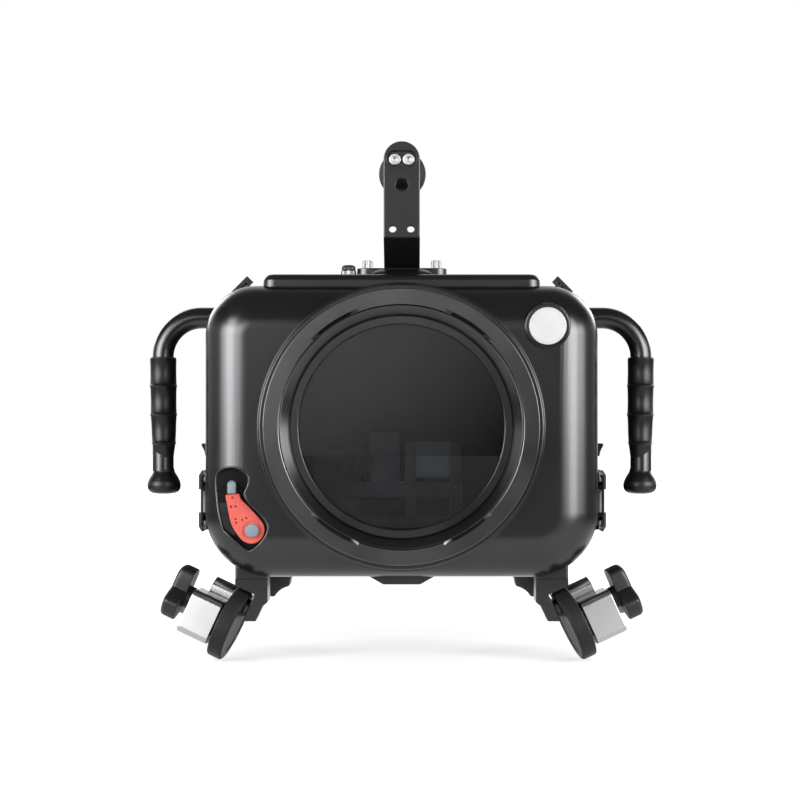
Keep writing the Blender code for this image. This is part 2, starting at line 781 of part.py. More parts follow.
def make_front_shell():
    shell = solid("front_shell", body_block(0, 0, SPLIT_DEPTH - GAP / 2, FRONT_EDGE), HOUSING)
    join(shell, "port_cylinder", rear_rod(0, 0, BOSS_FRONT, BOSS_BACK, BOSS_RADIUS, RING_STEPS))
    boolean(shell, deck("front_deck", DECK_START, SPLIT_DEPTH - GAP / 2, DECK_TOP, True), "UNION")
    join(shell, "badge_pad", rear_rod(BADGE_X, BADGE_HEIGHT, -BADGE_STAND, 0.012,
                                      BADGE_RADIUS + BADGE_RIM, 32))
    for side in (-1, 1):
        x0, x1 = sorted((side * FOOT_INNER_X, side * FOOT_OUTER_X))
        join(shell, "foot_boss_%d" % side,
             box(x0, x1, FOOT_DEPTH - FOOT_HALF_LENGTH, FOOT_DEPTH + FOOT_HALF_LENGTH,
                 -BODY_BOTTOM - FOOT_BOSS_DROP, -BODY_BOTTOM + WALL * 1.4))
    tab = [(-BOTTOM_BOSS_HALF, -BODY_BOTTOM + WALL / 2),
           (-BOTTOM_BOSS_HALF, -BODY_BOTTOM), (-BOTTOM_BOSS_FACE_HALF, -BODY_BOTTOM - BOTTOM_BOSS_HEIGHT),
           (BOTTOM_BOSS_FACE_HALF, -BODY_BOTTOM - BOTTOM_BOSS_HEIGHT), (BOTTOM_BOSS_HALF, -BODY_BOTTOM),
           (BOTTOM_BOSS_HALF, -BODY_BOTTOM + WALL / 2)]
    join(shell, "bottom_boss", front_outline("bottom_boss", [tab], BOTTOM_BOSS_START,
                                             BOTTOM_BOSS_START + BOTTOM_BOSS_LENGTH))
    add_latch_pads(shell, rear=False)
    boolean(shell, front_cavity())
    cut(shell, "port_bore", rear_rod(0, 0, BOSS_FRONT - WALL, BOSS_BACK + WALL,
                                     FLANGE_SLEEVE_RADIUS + GAP, RING_STEPS))
    pocket = smooth_loop(from_hub(lever_pocket()), 2)
    cut(shell, "lever_pocket", front_outline("lever_pocket", [pocket], -WALL, POCKET_FLOOR))
    cut(shell, "gland_bore", rear_rod(HUB_X, HUB_HEIGHT, POCKET_FLOOR - WALL, POCKET_BACK + WALL,
                                      GLAND_RADIUS + GAP))
    cut(shell, "badge_seat", rear_rod(BADGE_X, BADGE_HEIGHT, -2 * BADGE_STAND, BADGE_THICKNESS - BADGE_STAND,
                                      BADGE_RADIUS + GAP, 32))
    for side in (-1, 1):
        seat = rod(at(side * TUBE_SEAT_X, TUBE_DEPTH, TUBE_HEIGHT), (side, 0, 0),
                   TUBE_RADIUS + GAP, 0.04)
        cut(shell, "tube_seat_%d" % side, seat)
        screw = rod(at(side * CAP_SCREW_X, cap_screw_depth(), DECK_TOP - 0.006), (0, 0, 1),
                    CAP_SCREW_RADIUS * 0.6 + GAP, 0.02, 12)
        cut(shell, "cap_screw_bore_%d" % side, screw)
    cut(shell, "valve_bore", rod(at(VALVE_X, VALVE_DEPTH, BODY_TOP - 3 * WALL), (0, 0, 1),
                                 VALVE_RADIUS * 0.6 + GAP, 5 * WALL, 16))
    return shell


def make_rear_shell():
    start = SPLIT_DEPTH + GAP / 2
    shell = solid("rear_shell", body_block(0, start, BODY_DEPTH, 0, REAR_EDGE, edge_cuts=3), HOUSING)
    boolean(shell, deck("rear_deck", start, DECK_END, DECK_TOP - REAR_DECK_STEP, False), "UNION")
    for side in (-1, 1):
        x0, x1 = sorted((side * REAR_FOOT_INNER_X, side * REAR_FOOT_OUTER_X))
        join(shell, "rear_foot_boss_%d" % side,
             box(x0, x1, REAR_FOOT_DEPTH - FOOT_HALF_LENGTH, REAR_FOOT_DEPTH + FOOT_HALF_LENGTH,
                 -BODY_BOTTOM - FOOT_BOSS_DROP, -BODY_BOTTOM + WALL * 1.2))
        x0, x1 = sorted((side * (BODY_HALF_WIDTH - WALL / 2), side * (BODY_HALF_WIDTH + 0.0170)))
        join(shell, "strap_lug_%d" % side,
             box(x0, x1, start + 0.004, start + 0.018, STRAP_LUG_HEIGHT - 0.0055, STRAP_LUG_HEIGHT + 0.0055))
        hole = rod(at(side * (BODY_HALF_WIDTH + 0.0100), start + 0.011, STRAP_LUG_HEIGHT - 0.01), (0, 0, 1),
                   0.003, 0.02, 12)
        cut(shell, "strap_hole_%d" % side, hole)
    add_latch_pads(shell, rear=True)
    boolean(shell, tool("rear_cavity", body_block(WALL, start - WALL, BODY_DEPTH - WALL, 0,
                                                  REAR_EDGE - WALL, corner_cuts=6, edge_cuts=3)))
    half = MAIN_RING_RADIUS + GAP
    groove = [body_loop(WALL / 2 - half, 6), body_loop(WALL / 2 + half, 6)]
    cut(shell, "o_ring_groove", front_outline("o_ring_groove", groove, start - WALL, start + 2 * half))
    add_window_seat(shell)
    cut(shell, "drive_bore", rear_rod(*pinion_place(), BODY_DEPTH - 2 * WALL, BODY_DEPTH + WALL,
                                      DRIVE_RADIUS + GAP))
    for i, height in enumerate(BUTTON_HEIGHTS):
        cut(shell, "button_bore_%d" % i, rear_rod(BUTTON_X, height, BODY_DEPTH - 2 * WALL, BODY_DEPTH + WALL,
                                                  BUTTON_STEM_RADIUS + GAP))
    return shell


def window_box(border, depth0, depth1):
    half_x = WINDOW_OPENING[0] / 2 + border
    half_z = WINDOW_OPENING[1] / 2 + border
    shape = box(WINDOW_X - half_x, WINDOW_X + half_x, depth0, depth1,
                WINDOW_HEIGHT - half_z, WINDOW_HEIGHT + half_z)
    round_edges(shape, edges_along(shape, 1), 0.003 + border * 0.5, 4)
    return shape


def add_window_seat(shell):
    cut(shell, "window_hole", window_box(0, BODY_DEPTH - 2 * WALL, BODY_DEPTH + WALL))
    cut(shell, "window_seat", window_box(WINDOW_LEDGE + GAP, BODY_DEPTH - WINDOW_THICKNESS - GAP,
                                         BODY_DEPTH + WALL))


def make_window():
    solid("rear_window", window_box(WINDOW_LEDGE, BODY_DEPTH - WINDOW_THICKNESS, BODY_DEPTH), WINDOW_CLEAR)
    start = BODY_DEPTH + GAP
    frame = solid("rear_window_frame", window_box(FRAME_BORDER, start, start + FRAME_THICKNESS), RING)
    cut(frame, "frame_hole", window_box(0, BODY_DEPTH - WALL, BODY_DEPTH + 2 * WALL))


def make_main_o_ring():
    middle = SPLIT_DEPTH + GAP / 2 + MAIN_RING_RADIUS + GAP
    path = [at(x, middle, z) for x, z in body_loop(WALL / 2, 6)]
    solid("main_o_ring", swept(path, MAIN_RING_RADIUS, 1, closed=True), RUBBER)


# Port

def make_port_mount():
    lip_back = FLANGE_FRONT + FLANGE_LIP
    inner = [(BAYONET_RADIUS, lip_back), (BAYONET_RADIUS, BAYONET_BACK + 2 * GAP),
             (FLANGE_BORE + GAP, BAYONET_BACK + 2 * GAP), (FLANGE_BORE + GAP, FLANGE_BACK)]
    profile = [(FLANGE_RADIUS - 0.001, FLANGE_FRONT), (FLANGE_RADIUS, FLANGE_FRONT + 0.001),
               (FLANGE_RADIUS, BOSS_FRONT - GAP), (FLANGE_SLEEVE_RADIUS, BOSS_FRONT - GAP),
               (FLANGE_SLEEVE_RADIUS, FLANGE_BACK)]
    profile += inner[::-1] + [(FLANGE_BORE, lip_back), (FLANGE_BORE, FLANGE_FRONT)]
    flange = turned("port_mount_flange", profile, at(0, 0, 0), RING)
    for i, angle in enumerate(LUG_PLACES):
        notch = ring_sector(FLANGE_BORE - 0.002, BAYONET_RADIUS - GAP, angle, LUG_ANGLE + radians(1.5),
                            FLANGE_FRONT - 0.002, lip_back + 0.001)
        cut(flange, "notch_%d" % i, notch)


def ring_sector(inner, outer, angle, width, depth0, depth1):
    """A piece of a ring round the port axis, its angle measured from the top."""
    middle = 90 - angle * 180 / pi
    half = width * 90 / pi
    loop = arc(0, 0, outer, middle - half, middle + half, 4)
    loop += arc(0, 0, inner, middle + half, middle - half, 4)
    return front_outline("sector", [loop], depth0, depth1)


def make_port():
    seat_back = GLASS_FRONT + GLASS_THICKNESS + GASKET_THICKNESS + 2 * GAP
    seat_bore = GLASS_RADIUS - SEAT_WIDTH
    ledge = GLASS_FRONT - RETAINER_THICKNESS - GAP
    groove0 = PORT_GROOVE_FRONT
    groove1 = groove0 + 2 * (PORT_RING_RADIUS + GAP)
    groove = BARREL_RADIUS - 2 * PORT_RING_RADIUS - GAP
    profile = [(BARREL_RADIUS - PORT_RIM, BARREL_FRONT), (BARREL_RADIUS - PORT_RIM * 0.8, BARREL_FRONT),
               (BARREL_RADIUS, BARREL_FRONT + 0.0022),
               (BARREL_RADIUS, groove0), (groove, groove0), (groove, groove1), (BARREL_RADIUS, groove1),
               (BARREL_RADIUS, BARREL_BACK), (seat_bore, BARREL_BACK), (seat_bore, seat_back),
               (BARREL_BORE, seat_back), (BARREL_BORE, ledge),
               (BARREL_RADIUS - PORT_RIM, BARREL_FRONT + 0.001)]
    barrel = turned("port_barrel", profile, at(0, 0, 0), RING)
    lug_front = FLANGE_FRONT + FLANGE_LIP + GAP
    for i, angle in enumerate(LUG_PLACES):
        lug = ring_sector(BARREL_RADIUS - 0.002, LUG_RADIUS, angle + LUG_TURN, LUG_ANGLE,
                          lug_front, BAYONET_BACK)
        join(barrel, "lug_%d" % i, lug)
    glass_back = GLASS_FRONT + GLASS_THICKNESS
    turned("port_glass", [(0, GLASS_FRONT), (GLASS_RADIUS, GLASS_FRONT), (GLASS_RADIUS, glass_back),
                          (0, glass_back)], at(0, 0, 0), PORT_GLASS)
    turned("port_retaining_ring", [(RETAINER_BORE + 0.0012, GLASS_FRONT - RETAINER_THICKNESS - GAP),
                                   (GLASS_RADIUS, GLASS_FRONT - RETAINER_THICKNESS - GAP),
                                   (GLASS_RADIUS, GLASS_FRONT - GAP), (RETAINER_BORE, GLASS_FRONT - GAP),
                                   (RETAINER_BORE, GLASS_FRONT - GAP - 0.0015)], at(0, 0, 0), RING)
    turned("port_glass_gasket", [(GLASS_RADIUS, glass_back + GAP), (GLASS_RADIUS, seat_back - GAP),
                                 (seat_bore + 0.001, seat_back - GAP), (seat_bore + 0.001, glass_back + GAP)],
           at(0, 0, 0), RUBBER)
    make_port_o_ring(groove + PORT_RING_RADIUS + GAP, (groove0 + groove1) / 2)


def make_port_o_ring(radius, depth):
    bpy.ops.mesh.primitive_torus_add(major_radius=radius, minor_radius=PORT_RING_RADIUS,
                                     major_segments=RING_STEPS, minor_segments=6,
                                     location=at(0, depth, 0), rotation=(pi / 2, 0, 0))
    item = bpy.context.object
    item.name = "port_barrel_o_ring"
    for collection in list(item.users_collection):
        collection.objects.unlink(item)
    part.objects.link(item)
    item.data.materials.append(RUBBER)
    item.data.shade_smooth()


def make_badge():
    start = -BADGE_STAND
    disc = rear_rod(BADGE_X, BADGE_HEIGHT, start - 0.0004, start + BADGE_THICKNESS - GAP, BADGE_RADIUS, 32)
    solid("badge_disc", disc, WHITE)


# Red lever

def make_lever():
    hub = at(HUB_X, LEVER_FRONT, HUB_HEIGHT)
    back = LEVER_FRONT + LEVER_THICKNESS
    lever = solid("record_lever", front_outline("lever", [smooth_lever()], LEVER_FRONT, back), RED)
    cut(lever, "lever_bore", rear_rod(HUB_X, HUB_HEIGHT, LEVER_FRONT - WALL, back + WALL,
                                      SHAFT_RADIUS + GAP, 16))
    set_origin(bake(lever), hub)
    cap = rear_rod(HUB_X, HUB_HEIGHT, LEVER_FRONT - GAP - LEVER_CAP_THICKNESS, LEVER_FRONT - GAP,
                   LEVER_CAP_RADIUS, 24)
    set_origin(solid("lever_hub_cap", cap, GREY), hub)
    tip = lever_loop()
    tip_x = HUB_X + (tip[0][0] + tip[-1][0]) / 2 - 0.0008
    tip_height = HUB_HEIGHT + max(tip[0][1], tip[-1][1]) + GAP
    middle = LEVER_FRONT + LEVER_THICKNESS / 2 - 0.0006
    dome = [(TIP_PIN_RADIUS * sin(radians(a)), TIP_PIN_RADIUS * (1 - cos(radians(a))))
            for a in (0, 25, 50, 75)]
    profile = dome + [(TIP_PIN_RADIUS, TIP_PIN_RADIUS), (TIP_PIN_RADIUS, TIP_PIN_LENGTH), (0, TIP_PIN_LENGTH)]
    pin = turned("lever_tip_pin", profile, at(tip_x, middle, tip_height + TIP_PIN_LENGTH), GREY, 16,
                 Matrix.Identity(4))
    set_origin(bake(pin), hub)
    make_lever_shaft(hub)
    stop = from_hub([(-0.0300, 0.0250), (-0.0200, 0.0250), (-0.0195, 0.0120), (-0.0160, 0.0010),
                     (-0.0150, -0.0050), (-0.0190, -0.0045), (-0.0235, 0.0000), (-0.0265, 0.0030),
                     (-0.0285, 0.0120)])
    solid("lever_stop_plate", front_outline("stop", [stop], back + RUNNING, POCKET_FLOOR - GAP), MOULDED)


def smooth_lever():
    """The lever's smoothed outline, its end under the tip pin kept straight."""
    return smooth_loop(from_hub(lever_loop()), 2)[:-1]


def make_lever_shaft(hub):
    start = LEVER_FRONT + GAP
    arm0 = POCKET_BACK + 0.0036
    arm1 = arm0 + 0.0045
    shaft = solid("lever_shaft", rear_rod(HUB_X, HUB_HEIGHT, start, arm1, SHAFT_RADIUS, 16), SILVER)
    direction = Vector((-HUB_X, -HUB_HEIGHT)).normalized()
    side = Vector((-direction.y, direction.x))
    tip = direction * CRANK_LENGTH
    loop = [tuple(side * 0.006), tuple(-side * 0.006), tuple(tip - side * 0.004), tuple(tip + side * 0.004)]
    arm = front_outline("crank", [from_hub(loop)], arm0, arm1)
    join(shaft, "crank_arm", arm)
    set_origin(bake(shaft), hub)
    gland = rear_rod(HUB_X, HUB_HEIGHT, POCKET_FLOOR - 0.0012, POCKET_BACK + GAP + 0.003, GLAND_RADIUS)
    gland_item = solid("lever_gland", gland, SILVER)
    join(gland_item, "gland_flange", rear_rod(HUB_X, HUB_HEIGHT, POCKET_BACK + GAP,
                                              POCKET_BACK + GAP + 0.003, GLAND_RADIUS + 0.003, 24))
    cut(gland_item, "gland_hole", rear_rod(HUB_X, HUB_HEIGHT, 0, POCKET_BACK + 2 * WALL,
                                           SHAFT_RADIUS + GAP, 16))


# Side handles

def make_handle():
    path = [(-TUBE_SEAT_X - GAP, TUBE_HEIGHT)]
    bend_x = -GRIP_X + TUBE_BEND
    path += arc(bend_x, TUBE_HEIGHT - TUBE_BEND, TUBE_BEND, 90, 180, 8)
    path += [(-GRIP_X, GRIP_NECK)]
    tube = solid("handle_tube_left", swept([at(x, TUBE_DEPTH, z) for x, z in path], TUBE_RADIUS, 3), HOUSING)
    mirrored(tube, "handle_tube_right")
    grip = solid("grip_left", grip_shape(), MOULDED)
    bore = rod(at(-GRIP_X, TUBE_DEPTH, GRIP_NECK - GAP), (0, 0, 1), TUBE_RADIUS + RUNNING, 0.2, 16)
    cut(grip, "grip_bore", bore)
    mirrored(grip, "grip_right")


def grip_section(height):
    """Half width, front reach and rear reach of the grip at a height, and its sideways shift."""
    if height < GRIP_NECK:
        u = (GRIP_NECK - height) / (GRIP_NECK - GRIP_BOTTOM)
        swell = sin(min(u * 1.25, 1.0) * pi / 2)
        drop = 1.0 if u < 0.72 else sqrt(max(1 - ((u - 0.72) / 0.30) ** 2, 0.05))
        width = (NECK_HALF_WIDTH + (KNOB_HALF_WIDTH - NECK_HALF_WIDTH) * swell) * drop
        reach = GRIP_HALF_DEPTH * 0.85 * drop
        return width, reach, reach, 0.0
    u = (GRIP_TOP - height) / (GRIP_TOP - GRIP_NECK)
    narrow = 0.0037 * max(u - 0.35, 0) / 0.65
    wave = 0.5 - 0.5 * cos(2 * pi * (GRIP_TOP - height) / FINGER_PITCH)
    neck = exp(-((u - 1) / 0.05) ** 2)
    lip = exp(-(u / 0.03) ** 2)
    width = GRIP_HALF_WIDTH - narrow - FINGER_DEPTH * 0.20 * wave - 0.001 * neck - 0.001 * lip
    front = GRIP_HALF_DEPTH - narrow - FINGER_DEPTH * wave - 0.002 * neck
    rear = GRIP_HALF_DEPTH - 0.002 - narrow * 0.5
    return width, front, rear, narrow * 0.25


def grip_shape():
    steps = 22
    sides = 14
    rings = []
    for i in range(steps + 1):
        height = GRIP_TOP + (GRIP_BOTTOM - GRIP_TOP) * i / steps
        width, front, rear, shift = grip_section(height)
        ring = []
        for k in range(sides):
            a = 2 * pi * k / sides
            reach = front if sin(a) < 0 else rear
            ring.append(at(-GRIP_X + shift + width * cos(a), TUBE_DEPTH + reach * sin(a), height))
        rings.append(ring)
    return skin(rings)


# Carry handle

def cap_screw_depth():
    return PLATE_FRONT + 0.015


def arched(half, base, top, count=12):
    return [(-half, base), (half, base)] + arc(0, top - half, half, 0, 180, count)


def make_carry_handle():
    plate_low = DECK_TOP + GAP
    plate_top = plate_low + PLATE_THICKNESS
    plate = box(-PLATE_HALF_WIDTH, PLATE_HALF_WIDTH, PLATE_FRONT, PLATE_BACK, plate_low, plate_top)
    round_edges(plate, edges_along(plate, 2), 0.010, 4)
    plate_item = solid("carry_base_plate", plate, HOUSING)
    for side in (-1, 1):
        cut(plate_item, "plate_bore_%d" % side,
            rod(at(side * CAP_SCREW_X, cap_screw_depth(), plate_low - 0.005), (0, 0, 1),
                CAP_SCREW_RADIUS * 0.6 + GAP, 0.03, 12))
    post_foot = plate_top + GAP
    make_front_post(post_foot)
    make_rear_post(post_foot)
    make_bar()
    make_carry_screws(plate_top)


def make_front_post(foot):
    back = POST_DEPTH + POST_THICKNESS
    top = BAR_HEIGHT + POST_HALF_WIDTH
    line = [(back, top + 0.001), (back, BEND_HEIGHT), (back + BEND_RUN, foot + POST_THICKNESS),
            (back + BEND_RUN + FRONT_POST_FOOT, foot + POST_THICKNESS)]
    side_view = strip([(d, h) for d, h in line][::-1], POST_THICKNESS)
    post = solid("carry_front_post", side_outline("post", [side_view], -POST_HALF_WIDTH, POST_HALF_WIDTH),
                 HOUSING)
    arch = front_outline("arch", [arched(POST_HALF_WIDTH + GAP / 3, foot - 2 * POST_THICKNESS, top)],
                         POST_DEPTH - POST_THICKNESS, back + BEND_RUN + FRONT_POST_FOOT + POST_THICKNESS)
    boolean(post, tool("post_arch", arch), "INTERSECT")
    slot = arc(0.0060, BAR_HEIGHT, 0.0084, -90, 90, 6) + arc(-0.0060, BAR_HEIGHT, 0.0084, 90, 270, 6)
    cut(post, "screw_pocket", front_outline("slot", [slot], POST_DEPTH - 0.005, POST_DEPTH + 0.0035))
    for x, height, radius in ((0, BAR_HEIGHT - 0.0238, 0.0061), (0.0085, BEND_HEIGHT + 0.0035, 0.0034),
                              (-0.0085, BEND_HEIGHT + 0.0035, 0.0034)):
        cut(post, "post_hole", rear_rod(x, height, POST_DEPTH - 0.01, back + 0.02, radius, 16))
    for side in (-1, 1):
        cut(post, "post_screw_bore_%d" % side, rear_rod(side * POST_SCREW_X, BAR_HEIGHT, POST_DEPTH,
                                                        back + 0.01, POST_SCREW_RADIUS * 0.5 + GAP, 12))


def rear_post_depth():
    return POST_DEPTH + POST_THICKNESS + GAP + BAR_LENGTH + GAP


def make_rear_post(foot):
    depth = rear_post_depth()
    line = [(depth + REAR_POST_THICKNESS + REAR_POST_FOOT, foot), (depth, foot),
            (depth, BAR_HEIGHT + POST_HALF_WIDTH)]
    side_view = strip(line, -REAR_POST_THICKNESS)
    post = solid("carry_rear_post", side_outline("rear_post", [side_view], -POST_HALF_WIDTH,
                                                 POST_HALF_WIDTH), HOUSING)
    loop = arched(POST_HALF_WIDTH + GAP / 3, foot - 2 * POST_THICKNESS, BAR_HEIGHT + POST_HALF_WIDTH)
    arch = front_outline("rear_arch", [loop], depth - POST_THICKNESS, depth + 2 * REAR_POST_FOOT)
    boolean(post, tool("rear_post_arch", arch), "INTERSECT")


def make_bar():
    start = POST_DEPTH + POST_THICKNESS + GAP
    flange = BAR_LENGTH - BAR_FLANGE_THICKNESS
    profile = [(0, 0), (BAR_RADIUS - 0.001, 0), (BAR_RADIUS, 0.001), (BAR_RADIUS + 0.0012, flange * 0.3),
               (BAR_RADIUS + 0.0012, flange * 0.7), (BAR_RADIUS, flange - 0.003),
               (BAR_FLANGE_RADIUS - 0.001, flange), (BAR_FLANGE_RADIUS, flange + 0.001),
               (BAR_FLANGE_RADIUS, BAR_LENGTH), (0, BAR_LENGTH)]
    bar = turned("carry_grip_bar", profile, at(0, start, BAR_HEIGHT), MOULDED, 26)
    for side in (-1, 1):
        cut(bar, "bar_screw_bore_%d" % side, rear_rod(side * POST_SCREW_X, BAR_HEIGHT, start - 0.005,
                                                      start + 0.012, POST_SCREW_RADIUS * 0.5 + GAP, 12))


def make_carry_screws(plate_top):
    floor = POST_DEPTH + 0.0035
    for side, word in ((-1, "left"), (1, "right")):
        head = rear_rod(side * POST_SCREW_X, BAR_HEIGHT, floor - GAP - 0.0035, floor - GAP, POST_SCREW_RADIUS)
        screw = solid("post_screw_" + word, head, SILVER)
        join(screw, "post_screw_shank_%d" % side,
             rear_rod(side * POST_SCREW_X, BAR_HEIGHT, floor - 0.001, POST_DEPTH + POST_THICKNESS + 0.010,
                      POST_SCREW_RADIUS * 0.5, 12))
        knurled = rod(at(side * CAP_SCREW_X, cap_screw_depth(), plate_top + GAP), (0, 0, 1),
                      CAP_SCREW_RADIUS, CAP_SCREW_HEIGHT, 24)
        cap = solid("base_screw_" + word, knurled, SILVER)
        join(cap, "base_screw_shank_%d" % side,
             rod(at(side * CAP_SCREW_X, cap_screw_depth(), DECK_TOP - 0.005), (0, 0, 1),
                 CAP_SCREW_RADIUS * 0.6, plate_top - DECK_TOP + 0.007, 12))
        cut(cap, "base_screw_socket_%d" % side,
            rod(at(side * CAP_SCREW_X, cap_screw_depth(), plate_top + GAP + CAP_SCREW_HEIGHT - 0.003),
                (0, 0, 1), CAP_SCREW_RADIUS * 0.5, 0.01, 6))


def make_valve():
    low = DECK_TOP + GAP
    body = solid("valve_body", rod(at(VALVE_X, VALVE_DEPTH, low), (0, 0, 1), VALVE_RADIUS, VALVE_HEIGHT, 24),
                 SILVER)
    join(body, "valve_stem", rod(at(VALVE_X, VALVE_DEPTH, BODY_TOP - WALL - 0.004), (0, 0, 1),
                                 VALVE_RADIUS * 0.6, DECK_TOP - BODY_TOP + WALL + 0.006, 16))
    start = at(VALVE_X, VALVE_DEPTH, low + VALVE_HEIGHT + GAP + VALVE_CAP_HEIGHT)
    cap_radius = VALVE_RADIUS - 0.0008
    profile = [(0, 0), (cap_radius * 0.55, 0.0005), (cap_radius * 0.9, 0.0018), (cap_radius, 0.0032),
               (cap_radius, VALVE_CAP_HEIGHT), (0, VALVE_CAP_HEIGHT)]
    turned("valve_cap", profile, start, MOULDED, 20, Matrix.Identity(4))


# Draw latches

def make_latch(name, frame):
    y = LATCH_PIVOT_SETBACK
    n = LATCH_PIVOT_RISE
    throw = y + LATCH_THROW
    plate_low = n + LATCH_PLAY
    plate_high = plate_low + LATCH_THICKNESS
    cheek0 = LATCH_EAR_OUTER + 0.0012
    cheek1 = cheek0 + 0.003
    end = y + LATCH_LENGTH
    loop = [(y, plate_low), (end, plate_low), (end + 0.002, plate_high - 0.001), (end, plate_high),
            (y + 0.002, plate_high), (y, plate_high - 0.0015)]
    lever = solid("latch_lever_" + name, cross_outline("plate", -LATCH_HALF_WIDTH, LATCH_HALF_WIDTH, loop),
                  HOUSING)
    cheek_loop = [(y, plate_low + 0.001)] + arc(y, n, 0.0034, 160, 360, 8) + \
        [(y + 0.012, plate_low + 0.001)]
    lug_loop = [(throw - 0.004, plate_low + 0.001)] + arc(throw, n, 0.0032, 180, 360, 6) + \
        [(throw + 0.004, plate_low + 0.001)]
    lug0 = HOOK_HALF_WIDTH + 0.0013
    for sign in (-1, 1):
        a, b = sorted((sign * cheek0, sign * cheek1))
        join(lever, "cheek_%s_%d" % (name, sign), cross_outline("cheek", a, b, cheek_loop))
        a, b = sorted((sign * lug0, sign * (lug0 + 0.003)))
        join(lever, "lug_%s_%d" % (name, sign), cross_outline("lug", a, b, lug_loop))
        start = sign * (LATCH_EAR_INNER + GAP)
        reach = cheek0 + 0.001 - LATCH_EAR_INNER - GAP
        join(lever, "trunnion_%s_%d" % (name, sign),
             rod((start, y, n), (sign, 0, 0), LATCH_PIN_RADIUS, reach, 12))
    slot = local_box(-lug0 + 0.0003, lug0 - 0.0003, y - 0.01, throw + 0.0095, 0, plate_high + 0.01)
    cut(lever, "slot_" + name, slot)
    join(lever, "hook_pin_" + name,
         rod((-lug0 - 0.001, throw, n), (1, 0, 0), LATCH_PIN_RADIUS - LATCH_PIN_SLACK, 2 * lug0 + 0.002, 12))
    if name.startswith("side"):
        side = LATCH_HALF_WIDTH - 0.0025
        loop = [(-side, -LATCH_THICKNESS), (side, -LATCH_THICKNESS), (side, plate_low + 0.0008),
                (LATCH_TOP_HALF, plate_high + GAP), (-LATCH_TOP_HALF, plate_high + GAP),
                (-side, plate_low + 0.0008)]
        boolean(lever, tool("plate_ends", end_outline(loop, y - LATCH_THROW, end + LATCH_THROW)), "INTERSECT")
    bake(lever)
    lever.data.transform(frame)
    set_origin(lever, frame @ Vector((0, y, n)))
    make_hook(name, frame, throw, n)


def make_hook(name, frame, throw, n):
    """The hook: an eye round the lever's cross pin, and an arm down to its claw."""
    reach = -KEEPER_SETBACK - KEEPER_THICKNESS - GAP
    half = HOOK_THICKNESS / 2
    low = HOOK_CLAW_CLEAR
    lean = degrees(asin(half / HOOK_EYE_RADIUS))
    loop = arc(throw, n, HOOK_EYE_RADIUS, 180 + lean, 540 - lean, 12)
    loop += [(reach - HOOK_CLAW + 0.0008, n + half), (reach - HOOK_CLAW, n - half),
             (reach - HOOK_CLAW + 0.0004, low), (reach, low), (reach, n - half)]
    hole = arc(throw, n, LATCH_PIN_RADIUS + GAP - LATCH_PIN_SLACK, 0, 330, 11)
    hook = solid("latch_hook_" + name,
                 cross_outline("hook", -HOOK_HALF_WIDTH, HOOK_HALF_WIDTH, loop, hole), SILVER)
    hook.data.transform(frame)
    set_origin(hook, frame @ Vector((0, throw, n)))


# Feet

def foot_frame():
    """The left disc's frame: X up along the disc, Y to the rear, Z outward along its axis."""
    up = Vector((sin(FOOT_TILT), 0, cos(FOOT_TILT)))
    out = Vector((-cos(FOOT_TILT), 0, sin(FOOT_TILT)))
    matrix = Matrix((up, BACK_AXIS, out)).transposed().to_4x4()
    place = Matrix.Translation(at(-DISC_X, FOOT_DEPTH, -DISC_DROP))
    return place @ matrix @ Matrix.Rotation(-FOOT_TOE, 4, "X")


def foot_rod(rise, start, length, radius, segments=SMALL_STEPS, aside=0.0):
    return placed(rod((rise, aside, start), (0, 0, 1), radius, length, segments), foot_frame())


def foot_bracket_loop(inner):
    """The front bracket seen from the front; its arm's outer side runs along the disc."""
    low = -BODY_BOTTOM - FOOT_BOSS_DROP - GAP
    floor = low - FOOT_BRACKET_DROP
    end = floor - FOOT_ARM_DROP
    lean = Vector((sin(FOOT_TILT), cos(FOOT_TILT)))
    side = Vector((inner.x, inner.z - AXIS_Z)) + Vector((cos(FOOT_TILT), -sin(FOOT_TILT))) * DISC_STAND
    arm_end = side + lean * ((end - side.y) / lean.y)
    arm_top = side + lean * (DISC_RADIUS + DISC_TOP_CLEAR - DISC_BOLT_RISE)
    disc_top = arm_top + Vector((-cos(FOOT_TILT), sin(FOOT_TILT))) * DISC_STAND
    inside = -FOOT_INNER_X
    return [(-FOOT_OUTER_X, low), (inside, low), (inside, floor + 0.002), (inside - 0.002, floor),
            (inside - 0.0043, floor - 0.0013), (inside - 0.0113, end), tuple(arm_end), tuple(arm_top),
            tuple(disc_top), (-FOOT_OUTER_X, low - 0.0060)]


